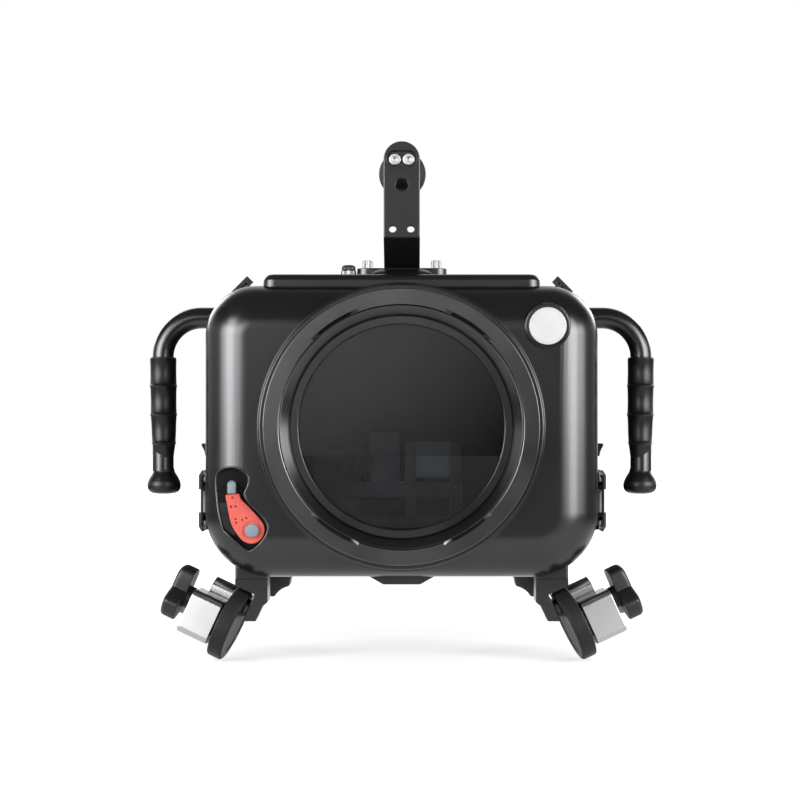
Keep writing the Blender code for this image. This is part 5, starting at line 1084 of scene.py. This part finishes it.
def pocket_floor():
    """The pocket's floor, with a rail for the lever and a few sunk lines; its near-black colour is painted
    shade.
    """
    middle = Vector((sum(x for x, _ in POCKET) / len(POCKET), sum(z for _, z in POCKET) / len(POCKET)))
    drawn_in = [tuple(middle + (Vector(point) - middle) * 0.975) for point in POCKET]
    plate = from_front(smooth_loop(from_hub(drawn_in), 4), POCKET_FLOOR - 0.0012, POCKET_FLOOR - 0.0001)
    steps = [("cut", rear_rod(HUB_X, HUB_HEIGHT, 0, 0.03, 0.0066))]
    for x0, z0, x1, z1 in ((-0.0300, 0.0300, -0.0265, 0.0060), (-0.0310, 0.0180, -0.0240, 0.0205),
                           (-0.0290, 0.0060, -0.0225, 0.0080)):
        (x0, z0), (x1, z1) = from_hub([(x0, z0), (x1, z1)])
        start, run = at(x0, POCKET_FLOOR - 0.0012, z0), Vector((x1 - x0, 0, z1 - z0))
        steps.append(("cut", rod(start, run, 0.0004, run.length, 8)))
    rail = block(HUB_X - 0.0305, HUB_X - 0.0085, POCKET_FLOOR - 0.0045, POCKET_FLOOR - 0.0006,
                 HUB_HEIGHT + 0.0352, HUB_HEIGHT + 0.0375)
    steps.append(("join", rounded(rail, 0.0004)))
    return machined(plate, *steps)


# The floor sheet's near-black finish is painted shade of the pocket, not the colour of the part.
show("pocket_floor", pocket_floor(), POCKET_PAINTED_SHADE, "front_shell", 30)
show("lever_body", red_lever(), LEVER_RED, "record_lever", 30)
low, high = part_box("lever_hub_cap")
cap_front = low.y - FACE
cap_profile = [(0, cap_front), (0.0050, cap_front + 0.0001), (0.0059, cap_front + 0.0005),
               (0.0062, cap_front + 0.0011), (0.0062, high.y - FACE), (0, high.y - FACE)]
show("lever_cap", turned(cap_profile, at(HUB_X, 0, HUB_HEIGHT), 64), HUB_GREY, "lever_hub_cap")
low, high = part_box("lever_tip_pin")
pin_middle = (low + high) / 2
pin_profile = [(0.0041 * sin(radians(a)), 0.0041 * (1 - cos(radians(a)))) for a in range(0, 91, 10)]
pin_profile += [(0.0041, high.z - low.z), (0, high.z - low.z)]
pin = turned(pin_profile, Vector((pin_middle.x, pin_middle.y, high.z)), 48, Matrix.Identity(4))
show("lever_tip", pin, HUB_GREY, "lever_tip_pin")
for name, node, finish in (("lever_spindle", "lever_shaft", SCREW_STEEL),
                           ("spindle_gland", "lever_gland", SCREW_STEEL),
                           ("lever_stop", "lever_stop_plate", KNOB_PLASTIC)):
    show_cad(name, finish, node, 0.0003)
print("lever dimples:", len(DIMPLES))

# %% [markdown]
# ## The side handles
#
# A tube leaves the body, bends down, and carries a moulded grip. The grip is lofted through rings: four
# wells for the fingers, each ending in a crisp ridge, then a narrow neck and a flared end.

# %% Tube and grip
GRIP_X = 0.2283
TUBE_BEND = 0.037
GRIP_TOP = 0.0666
GRIP_NECK = -0.0420
GRIP_BOTTOM = -0.0636
FINGER_PITCH = 0.0273
GRIP_ROWS = 200
bend_centre = (-GRIP_X + TUBE_BEND, TUBE_HEIGHT - TUBE_BEND)
tube_line = [(-TUBE_SEAT_X - GAP, TUBE_HEIGHT)] + arc(*bend_centre, TUBE_BEND, 90, 180, 28)
tube_line += [(-GRIP_X, GRIP_NECK)]
show_pair("handle", bent_tube([at(x, TUBE_DEPTH, z) for x, z in tube_line], TUBE_RADIUS, 48), ANODISED,
          "handle_tube")


GRIP_WIDTHS = [(0.0666, 0.0112), (0.0658, 0.0124), (0.0640, 0.0127), (0.0390, 0.0126), (0.0120, 0.0124),
               (-0.0050, 0.0119), (-0.0150, 0.0111), (-0.0240, 0.0100), (-0.0310, 0.0092), (-0.0380, 0.0091),
               (-0.0430, 0.0103), (-0.0480, 0.0134), (-0.0520, 0.0152), (-0.0555, 0.0158), (-0.0590, 0.0153),
               (-0.0615, 0.0136), (-0.0630, 0.0105), (-0.0636, 0.0060)]


def along(table, height):
    """A value between the rows of a table that runs downward."""
    for (high, above), (low, below) in zip(table, table[1:]):
        if height >= low - 1e-9:
            u = (high - height) / (high - low)
            return above + (below - above) * u
    return table[-1][1]


def grip_reach(height):
    """Half width, front reach, rear reach and sideways shift of the grip at a height."""
    width = along(GRIP_WIDTHS, height)
    fade = min(1.0, max(0.0, (height - GRIP_NECK) / 0.012))
    fade = fade * fade * (3 - 2 * fade)
    turn = (GRIP_TOP - height) / FINGER_PITCH
    well = abs(sin(pi * turn)) ** 0.6
    ridge = exp(-((turn - round(turn)) / 0.03) ** 2) if 0.3 < turn < 3.7 else 0.0
    front = width + fade * (0.0040 - 0.0036 * well + 0.0004 * ridge)
    side = width + fade * (0.0005 * ridge - 0.0004 * well)
    return side, front, width + 0.0015 * fade, 0.0009 * min(1.0, turn / 4)


def grip():
    rows = []
    for i in range(GRIP_ROWS + 1):
        height = GRIP_TOP + (GRIP_BOTTOM - GRIP_TOP) * i / GRIP_ROWS
        width, front, rear, shift = grip_reach(height)
        ring = []
        for a in circle(56):
            reach = front if sin(a) < 0 else rear
            ring.append(at(-GRIP_X + shift + width * cos(a), TUBE_DEPTH + reach * sin(a), height))
        rows.append(ring)
    return shape_from_rows(rows)


show_pair("hand_grip", grip(), GRIP_PLASTIC, "grip", 40)
print("grip %.0f mm long" % (1000 * (GRIP_TOP - GRIP_BOTTOM)))

# %% [markdown]
# ## The carry handle
#
# A plate on the deck carries two posts, and a round bar runs between them from front to rear. The front post
# is a bent strap with a sunk oval for two socket screws. Two holes go through both posts in line. The plate
# is held by two knurled screws.

# %% Plate, posts and bar
BAR_AXIS = 0.250
POST_HALF_WIDTH = 0.017


def front_post():
    """A strap bent to the rear at its foot, with a round top, a sunk oval, and three through holes."""
    side = [(0.060, 0.270), (0.060, 0.1815), (0.086, 0.1601), (0.116, 0.1601), (0.116, 0.1501),
            (0.0824, 0.1501), (0.050, 0.1768), (0.050, 0.270)]
    arch = [(-POST_HALF_WIDTH, 0.14), (POST_HALF_WIDTH, 0.14)]
    arch += arc(0, BAR_AXIS, POST_HALF_WIDTH, 0, 180, 32)
    strap = machined(from_side(side, -0.03, 0.03), ("keep", from_front(arch, 0.03, 0.13)))
    rounded(strap, 0.0009)
    oval = arc(0.0060, BAR_AXIS, 0.0084, -90, 90, 16) + arc(-0.0060, BAR_AXIS, 0.0084, 90, 270, 16)
    steps = [("cut", rounded(from_front(oval, 0.030, 0.0535), 0.0004, 60, 2))]
    steps += [("cut", rear_rod(x, height, 0.04, 0.09, radius, 40)) for x, height, radius in
              ((0, BAR_AXIS - 0.0238, 0.0061), (-0.0085, 0.1850, 0.0034), (0.0085, 0.1850, 0.0034))]
    steps += [("cut", rear_rod(x, BAR_AXIS, 0.04, 0.07, 0.0030, 32)) for x in (-0.0064, 0.0064)]
    return machined(strap, *steps)


show("front_post", front_post(), ANODISED, "carry_front_post", 30)
rear_holes = [("cut", rear_rod(x, 0.1975, 0.14, 0.18, 0.0046, 40)) for x in (-0.0100, 0.0082)]
show("rear_post", machined(from_cad("carry_rear_post", 0.0008, 35, 3), *rear_holes), ANODISED,
     "carry_rear_post", 30)


def plate_mound():
    """The plate's front rises in a soft mound to the foot of the post."""
    half = [(0.0315, 0.0), (0.0308, 0.0020), (0.0290, 0.0042), (0.0255, 0.0060), (0.0205, 0.0070)]
    outline = half + [(-x, z) for x, z in half[::-1]]
    rows = []
    for depth, share in ((0.0500, 0.12), (0.0530, 0.45), (0.0575, 0.78), (0.0630, 0.95), (0.0700, 1.0)):
        rows.append([at(x * (0.88 + 0.12 * share), depth, DECK_TOP + GAP + z * share) for x, z in outline])
    return shape_from_rows(rows)


show("deck_plate", machined(from_cad("carry_base_plate", 0.0012, 35, 3), ("join", plate_mound())), ANODISED,
     "carry_base_plate", 40)
low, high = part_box("carry_grip_bar")
BAR_LENGTH = high.y - low.y
BAR_RIBS = 8
bar_middle = (low + high) / 2
bar_profile = [(0, 0), (0.0130, 0), (0.0137, 0.0003), (0.0140, 0.001)]
for i in range(33):
    u = i / 32
    rib = 0.0005 * (0.5 - 0.5 * cos(2 * pi * BAR_RIBS * u))
    bar_profile.append((0.0140 + 0.0012 * sin(pi * u) - rib, 0.003 + 0.0785 * u))
bar_flange = [(0.0145, 0.0075), (0.0180, 0.0064), (0.0222, 0.006), (0.0229, 0.0057), (0.0232, 0.005),
              (0.0232, 0.0008), (0.0226, 0), (0, 0)]
bar_profile += [(radius, BAR_LENGTH - from_end) for radius, from_end in bar_flange]
show("carry_bar", turned(bar_profile, Vector((bar_middle.x, low.y, bar_middle.z)), 96), GRIP_PLASTIC,
     "carry_grip_bar", 40)
print("carry bar %.0f mm long" % (1000 * BAR_LENGTH))

# %% Screws and valve
def screw(place, view, radius, height, knurls, shank, shank_length):
    """A socket screw: its head from the top down, knurled if asked, with its hexagon socket."""
    end = height + shank_length
    head = [(0, 0), (radius - 0.0007, 0), (radius - 0.0002, 0.0002), (radius, 0.0007),
            (radius, height - 0.0005), (radius - 0.0004, height), (shank, height), (shank, end), (0, end)]
    ribs = ((3, 4), knurls, 0.00045) if knurls else None
    shape = turned(head, place, 8 * knurls if knurls else 64, view, ribs)
    socket = [(0, -0.001), (radius * 0.52, -0.001), (radius * 0.52, 0.0026), (0, 0.0032)]
    return machined(shape, ("cut", turned(socket, place, 6, view)))


def cad_top(node):
    low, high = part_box(node)
    return Vector(((low.x + high.x) / 2, (low.y + high.y) / 2, high.z))


for word in ("left", "right"):
    low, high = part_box("post_screw_" + word)
    middle = (low + high) / 2
    bolt = screw(Vector((middle.x, low.y, middle.z)), FRONT_VIEW, 0.0054, 0.0035, 0, 0.0027, 0.0136)
    show("post_bolt_" + word, bolt, BOLT_STEEL, "post_screw_" + word)
    bolt = screw(cad_top("base_screw_" + word), Matrix.Identity(4), 0.0048, 0.0078, 20, 0.0029, 0.0132)
    show("plate_screw_" + word, bolt, SCREW_STEEL, "base_screw_" + word)
top = cad_top("valve_body")
low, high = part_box("valve_body")
valve_profile = [(0, 0), (0.0064, 0), (0.0073, 0.0008), (0.0073, 0.0058), (0.0069, 0.0065), (0.0039, 0.0065),
                 (0.0039, high.z - low.z), (0, high.z - low.z)]
show("valve_base", turned(valve_profile, top, 144, Matrix.Identity(4), ((2, 3), 24, 0.0004)), SCREW_STEEL,
     "valve_body")
top = cad_top("valve_cap")
low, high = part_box("valve_cap")
cap_height = high.z - low.z
cap_profile = [(0, 0), (0.0040, 0.0002), (0.0056, 0.0008), (0.0064, 0.0020), (0.0066, 0.0032),
               (0.0066, cap_height), (0, cap_height)]
slot = latch_block(Matrix.Translation(top), -0.0045, 0.0045, -0.0006, 0.0006, -0.0014, 0.001)
show("valve_top_cap", machined(turned(cap_profile, top, 96, Matrix.Identity(4), ((3, 4, 5), 16, 0.0004)),
                               ("cut", slot)), KNOB_PLASTIC, "valve_cap")
print("screws and valve made")

# %% [markdown]
# ## The latches
#
# A broad lever plate pulls a steel hook over the ridge of the front shell. The CAD solids already have the
# right shape, so they only get rounded edges here.

# %% Latch levers and hooks
for name, view in LATCHES.items():
    show_cad("latch_plate_" + name, ANODISED, "latch_lever_" + name, 0.0005)
    show_cad("hook_" + name, DARK_STEEL, "latch_hook_" + name, 0.0003)
print("latches:", len(LATCHES))

# %% [markdown]
# ## The feet
#
# Each front foot is a bracket with a round rubber disc tilted outward. A block of steel ballast is clamped
# to the disc by a knob with three lobes, and a second, rounder block stands behind it.

# %% Discs, weights and knobs
FOOT_TILT = radians(24.6)
FOOT_TOE = radians(6)
DISC_X = 0.1683
DISC_DROP = 0.04293
DISC_RADIUS = 0.0346
DISC_LAND = 0.0030
DISC_THICKNESS = 0.0144
DISC_STAND = 0.0033
BOLT_RISE = 0.0199
STUD_RISE = 0.0055
WEIGHT_LENGTH = 0.0306
KNOB_NECK = 0.0065
KNOB_VALLEYS = (53, 173, 293)


def foot_frame():
    """The left disc's frame: X up along the disc, Y to the rear, Z outward along its axis."""
    up = Vector((sin(FOOT_TILT), 0, cos(FOOT_TILT)))
    out = Vector((-cos(FOOT_TILT), 0, sin(FOOT_TILT)))
    axes = Matrix((up, BACKWARD, out)).transposed().to_4x4()
    place = Matrix.Translation(at(-DISC_X, FOOT_DEPTH, -BODY_BOTTOM - DISC_DROP))
    return place @ axes @ Matrix.Rotation(-FOOT_TOE, 4, "X")


FOOT = foot_frame()
disc_profile = [(0, -DISC_LAND), (0.0182, -DISC_LAND), (0.0190, -DISC_LAND + 0.0008), (0.0190, 0),
                (0.0205, 0), (0.0322, 0), (0.0336, 0.0003), (0.0343, 0.0011), (DISC_RADIUS, 0.0022),
                (DISC_RADIUS, 0.0116), (0.0344, 0.0128), (0.0338, 0.0136), (0.0328, DISC_THICKNESS),
                (0.0270, DISC_THICKNESS), (0.0265, 0.0136), (0, 0.0136)]
disc = turned(disc_profile, FOOT.translation, 432, FOOT.to_3x3().to_4x4(), ((11, 12), 72, 0.0009))
show_pair("foot_pad", disc, FOOT_RUBBER, "foot_disc", 40)
washer = rod(FOOT @ Vector((BOLT_RISE, 0, -DISC_THICKNESS - DISC_STAND)), FOOT.to_3x3() @ UPWARD, 0.0082,
             DISC_STAND + 0.0005, 48)
show_pair("foot_washer", rounded(washer, 0.0004), SCREW_STEEL, "foot_bracket")


def ballast(size, rise, depth, rounding):
    shape = cuboid(Matrix.Translation((rise, depth, DISC_LAND + GAP + size[2] / 2)), size)
    round_off(shape, edges_along(shape, 2), rounding, 12)
    round_off(shape, [e for e in shape.edges if abs(e.verts[0].co.z - e.verts[1].co.z) < 1e-6], 0.0008, 3)
    shape.transform(FOOT)
    return shape


show_pair("ballast_front", ballast((0.0426, 0.040, WEIGHT_LENGTH), -0.0040, 0, 0.0065), WEIGHT_STEEL,
          "front_weight")
show_pair("ballast_rear", ballast((0.040, 0.0195, 0.0240), 0.0112, 0.03005, 0.0094), WEIGHT_STEEL,
          "rear_weight")


def clamp_knob():
    """Three lobes with deep valleys between them, a neck, and the stud through the weight."""
    def ring(scale, height):
        points = []
        for a in circle(144):
            nearest = min(abs((a - radians(valley) + pi) % (2 * pi) - pi) for valley in KNOB_VALLEYS)
            wall = 0.0118 / max(sin(radians(60) - nearest), 0.1)
            radius = scale * (0.028 ** -8 + wall ** -8) ** (-1 / 8)
            points.append(FOOT @ Vector((STUD_RISE + radius * cos(a), radius * sin(a), height)))
        return points

    start = DISC_LAND + WEIGHT_LENGTH + 2 * GAP + KNOB_NECK
    levels = [(0.96, 0), (0.99, 0.0004), (1, 0.0012), (1, 0.0108), (0.985, 0.0126), (0.955, 0.0138),
              (0.90, 0.0149), (0.80, 0.0155)]
    knob = shape_from_rows([ring(scale, start + rise) for scale, rise in levels])
    foot_axis = FOOT.to_3x3() @ UPWARD
    neck = rod(FOOT @ Vector((STUD_RISE, 0, start - KNOB_NECK)), foot_axis, 0.011, KNOB_NECK + 0.002, 48)
    stud = rod(FOOT @ Vector((STUD_RISE, 0, -0.010)), foot_axis, 0.004, start + 0.0214, 32)
    return machined(knob, ("join", neck), ("join", stud))


show_pair("clamp", clamp_knob(), KNOB_PLASTIC, "clamp_knob", 35)
print("disc %.0f mm across, tilted %.1f degrees" % (2000 * DISC_RADIUS, degrees(FOOT_TILT)))

# %% Brackets and rear legs
for stem, node in (("front_bracket", "foot_bracket"), ("rear_bracket", "rear_bracket")):
    for word in ("left", "right"):
        show_cad("%s_%s_block" % (stem, word), ANODISED, "%s_%s" % (node, word), 0.0016, 50, 4)
for word in ("left", "right"):
    show_cad("leg_" + word, WEIGHT_STEEL, "rear_leg_" + word, 0.0003)
print("brackets and legs made")

# %% [markdown]
# ## The back
#
# The window sits behind a frame held by small countersunk screws. Beside it are the knob that turns the
# lens gear through the wall, and two sprung buttons.

# %% Window, knob and buttons
show_cad("window_pane", ACRYLIC, "rear_window")
FRAME_THICKNESS = 0.004
frame_front = BODY_DEPTH + GAP
frame_back = frame_front + FRAME_THICKNESS
frame_steps = [("cut", window_block(0, BODY_DEPTH - WALL, BODY_DEPTH + 2 * WALL))]
screw_x, screw_z = (half + 0.005 for half in WINDOW_HALF)
screw_places = [(WINDOW_X + sx * screw_x * fx, WINDOW_HEIGHT + sz * screw_z * fz)
                for sx in (-1, 1) for sz in (-1, 1) for fx, fz in ((1, 0.45), (0.45, 1))]
for x, z in screw_places:
    sink = [(0, 0.0022), (0.0016, 0.0016), (0.0026, 0.0006), (0.0026, -0.001), (0, -0.001)]
    frame_steps.append(("cut", turned(sink, at(x, frame_back, z), 32, BACK_VIEW)))
window_frame = machined(rounded(window_block(0.010, frame_front, frame_back), 0.0007), *frame_steps)
show("window_bezel", window_frame, FLANGE_BLACK, "rear_window_frame")
KNOB_HEIGHT = 0.0165
knob_profile = [(0, 0), (0.0085, 0), (0.0095, 0.0004), (0.0100, 0.0012), (0.0152, 0.0012),
                (0.0166, 0.0018), (0.0170, 0.0032), (0.0170, 0.0140), (0.0164, 0.0152), (0.0148, 0.0156),
                (0.0148, KNOB_HEIGHT), (0, KNOB_HEIGHT)]
knob = turned(knob_profile, at(DRIVE_X, BODY_DEPTH + GAP + KNOB_HEIGHT, DRIVE_HEIGHT), 240, BACK_VIEW,
              ((6, 7, 8), 30, 0.0012))
show("focus_knob", knob, KNOB_PLASTIC, "drive_knob", 40)
for name, node, finish in (("focus_shaft", "drive_shaft", DARK_STEEL),
                           ("focus_wheel", "lens_gear", WHEEL_GREY)):
    show_cad(name, finish, node, 0.0002)
for word, height in BUTTON_HEIGHTS.items():
    low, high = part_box("rear_button_" + word)
    top, length = high.y - FACE, high.y - low.y
    collar0, collar1 = (top - BODY_DEPTH + WALL + distance for distance in (GAP, 0.0033))
    cap = [(0, 0), (0.0040, 0.0001), (0.0058, 0.0006), (0.0067, 0.0014), (0.0070, 0.0026), (0.0070, 0.0060),
           (0.0040, 0.0060), (0.0040, collar0), (0.0055, collar0), (0.0055, collar1), (0.0040, collar1),
           (0.0040, length), (0, length)]
    show("push_button_" + word, turned(cap, at(BUTTON_X, top, height), 64, BACK_VIEW), KNOB_PLASTIC,
         "rear_button_" + word, 35)
show_cad("tray", INNER_METAL, "camera_tray", 0.0005)
print("window screws:", len(screw_places))

# %% [markdown]
# ## The studio
#
# The housing stands on a white sweep. The background is white to the camera and in transmission. Reflections
# see a room: white behind and beneath the object, dim in front, and a tall bright card at each side, which
# draws the bright bands along the shells. Matt surfaces get a plain fill and four weak softboxes.

# %% Floor
floor_shape = bmesh.new()
bmesh.ops.create_grid(floor_shape, x_segments=1, y_segments=1, size=12)
floor_mesh = bpy.data.meshes.new("floor")
floor_shape.to_mesh(floor_mesh)
floor_shape.free()
floor = bpy.data.objects.new("floor", floor_mesh)
bpy.context.scene.collection.objects.link(floor)


def white_floor(glow, mirrored_glow):
    """White to the camera, paler near the object so that its shadow shows; darker far off in reflections."""
    material = bpy.data.materials.new("white_sweep")
    material.use_nodes = True
    wires = Wiring(material.node_tree)
    nodes, links = wires.nodes, wires.links
    shader = nodes["Principled BSDF"]
    shader.inputs["Roughness"].default_value = 1.0
    shader.inputs["Specular IOR Level"].default_value = 0.0
    shader.inputs["Emission Color"].default_value = (1, 1, 1, 1)
    noise = nodes.new("ShaderNodeTexNoise")
    noise.inputs["Scale"].default_value = 3
    paint = wires.colours(noise.outputs["Fac"], (0.78, 0.78, 0.78), (0.82, 0.82, 0.82))
    distance = wires.length(nodes.new("ShaderNodeTexCoord").outputs["Object"])
    seen = wires.rays("Is Camera Ray", "Is Transmission Ray")
    mirrored = wires.rays("Is Glossy Ray")
    lit = wires.math("MULTIPLY", seen, wires.ramp(distance, 0.45, 1.1, glow, 1.0))
    lit = wires.math("MULTIPLY_ADD", mirrored, wires.ramp(distance, 0.40, 0.95, mirrored_glow, 0.0), lit)
    links.new(lit, shader.inputs["Emission Strength"])
    dusk = wires.math("MULTIPLY", mirrored, wires.ramp(distance, 0.5, 1.0, 0.0, 0.75, "LINEAR"))
    darker = nodes.new("ShaderNodeMix")
    darker.data_type = "RGBA"
    links.new(dusk, darker.inputs[0])
    links.new(paint, darker.inputs[6])
    darker.inputs[7].default_value = (0.02, 0.02, 0.02, 1)
    links.new(darker.outputs[2], shader.inputs["Base Color"])
    return material


floor_mesh.materials.append(white_floor(0.62, 0.60))

# %% World
def studio_world(room, cards, fill):
    """The room as reflections see it, a plain fill for matt surfaces, and white for the camera."""
    world = bpy.data.worlds.new("studio")
    bpy.context.scene.world = world
    world.use_nodes = True
    wires = Wiring(world.node_tree)
    math, ramp, blend = wires.math, wires.ramp, wires.blend
    split = wires.nodes.new("ShaderNodeSeparateXYZ")
    wires.links.new(wires.nodes.new("ShaderNodeTexCoord").outputs["Generated"], split.inputs["Vector"])
    # These are parts of the direction a ray looks in, so the ramps below lie between -1 and 1.
    across, back, up = split.outputs
    upper_left = math("MULTIPLY_ADD", across, -0.63, up)
    front = math("MULTIPLY", ramp(upper_left, -0.075, 0.11, *room), ramp(up, 0.12, 0.35, 1.0, 0.14))
    front = math("MULTIPLY", front, ramp(back, -0.985, -0.93, 1.0, 0.25))
    nearer = math("MULTIPLY_ADD", across, -0.04, back)
    farther = math("MULTIPLY_ADD", across, -0.07, back)
    band = math("MULTIPLY", ramp(nearer, -0.965, -0.880, 0.0, 1.0), ramp(farther, -0.30, -0.06, 1.0, 0.0))
    height = math("MULTIPLY", ramp(up, -0.118, -0.060, 0.13, 1.0), ramp(up, 0.22, 0.42, 1.0, 0.0))
    height = math("MULTIPLY", height, ramp(up, -0.55, -0.40, 0.0, 1.0))
    side_cards = math("MULTIPLY", math("MULTIPLY", band, height), cards)
    walls = math("MULTIPLY", ramp(back, -0.25, 0.0, 0.0, 0.50), ramp(up, 0.25, 0.50, 1.0, 0.0))
    ceiling = ramp(up, 0.40, 0.80, 0.0, 0.13)
    shaded = math("ADD", math("ADD", front, ceiling), math("ADD", side_cards, walls))
    mirrored_room = blend(ramp(back, 0.45, 0.85, 0.0, 1.0), shaded, 1.0)
    indirect = blend(wires.rays("Is Glossy Ray", "Is Transmission Ray"), fill, mirrored_room)
    background = wires.nodes["Background"]
    wires.links.new(blend(wires.rays("Is Camera Ray"), indirect, 1.0), background.inputs["Strength"])
    background.inputs["Color"].default_value = (1, 1, 1, 1)


studio_world(room=(0.03, 1.05), cards=9.0, fill=0.30)
print("world made")

# %% Softboxes
CENTRE = Vector((0, 0, 0.24))


def softbox(name, place, width, height, power):
    """A lamp that faces the housing's centre."""
    lamp = bpy.data.lights.new(name, "AREA")
    lamp.shape = "RECTANGLE"
    lamp.size = width
    lamp.size_y = height
    lamp.energy = power
    box = bpy.data.objects.new(name, lamp)
    box.location = place
    box.rotation_mode = "QUATERNION"
    box.rotation_quaternion = (CENTRE - Vector(place)).to_track_quat("-Z", "Y")
    box.visible_camera = False
    bpy.context.scene.collection.objects.link(box)


for side, word in ((-1, "left"), (1, "right")):
    softbox("softbox_" + word, (side * 1.15, -0.95, 0.42), 0.5, 1.3, 15)
    softbox("softbox_back_" + word, (side * 1.0, 1.3, 0.9), 0.6, 0.8, 6)
print("softboxes lit")

# %% [markdown]
# ## The camera
#
# The photograph looks straight at the port with a long lens. The port's centre lies 1.3 pixels to the right
# of the middle of the picture and 27 below it, at 1111 pixels a metre, so the lens is shifted and the camera
# stays level. It stands 11 mm to the right of the port.

# %% Camera
PICTURE = 800
PORT_RIGHT, PORT_LOW = 1.3, 27
PIXELS_PER_METRE = 1111
CAMERA_X = 0.011
CAMERA_DISTANCE = 1.61
camera_data = bpy.data.cameras.new("photo_camera")
camera_data.lens = 80
camera_data.sensor_width = 36
camera_data.shift_x = -(PORT_RIGHT + PIXELS_PER_METRE * CAMERA_X) / PICTURE
camera_data.shift_y = PORT_LOW / PICTURE
camera = bpy.data.objects.new("photo_camera", camera_data)
camera.location = (CAMERA_X, FACE - CAMERA_DISTANCE, AXIS)
camera.rotation_euler = (radians(90), 0, 0)
bpy.context.scene.collection.objects.link(camera)
bpy.context.scene.camera = camera
bpy.context.scene.view_settings.view_transform = "Standard"
print("camera %.2f m in front of the port" % (FACE - camera.location.y))
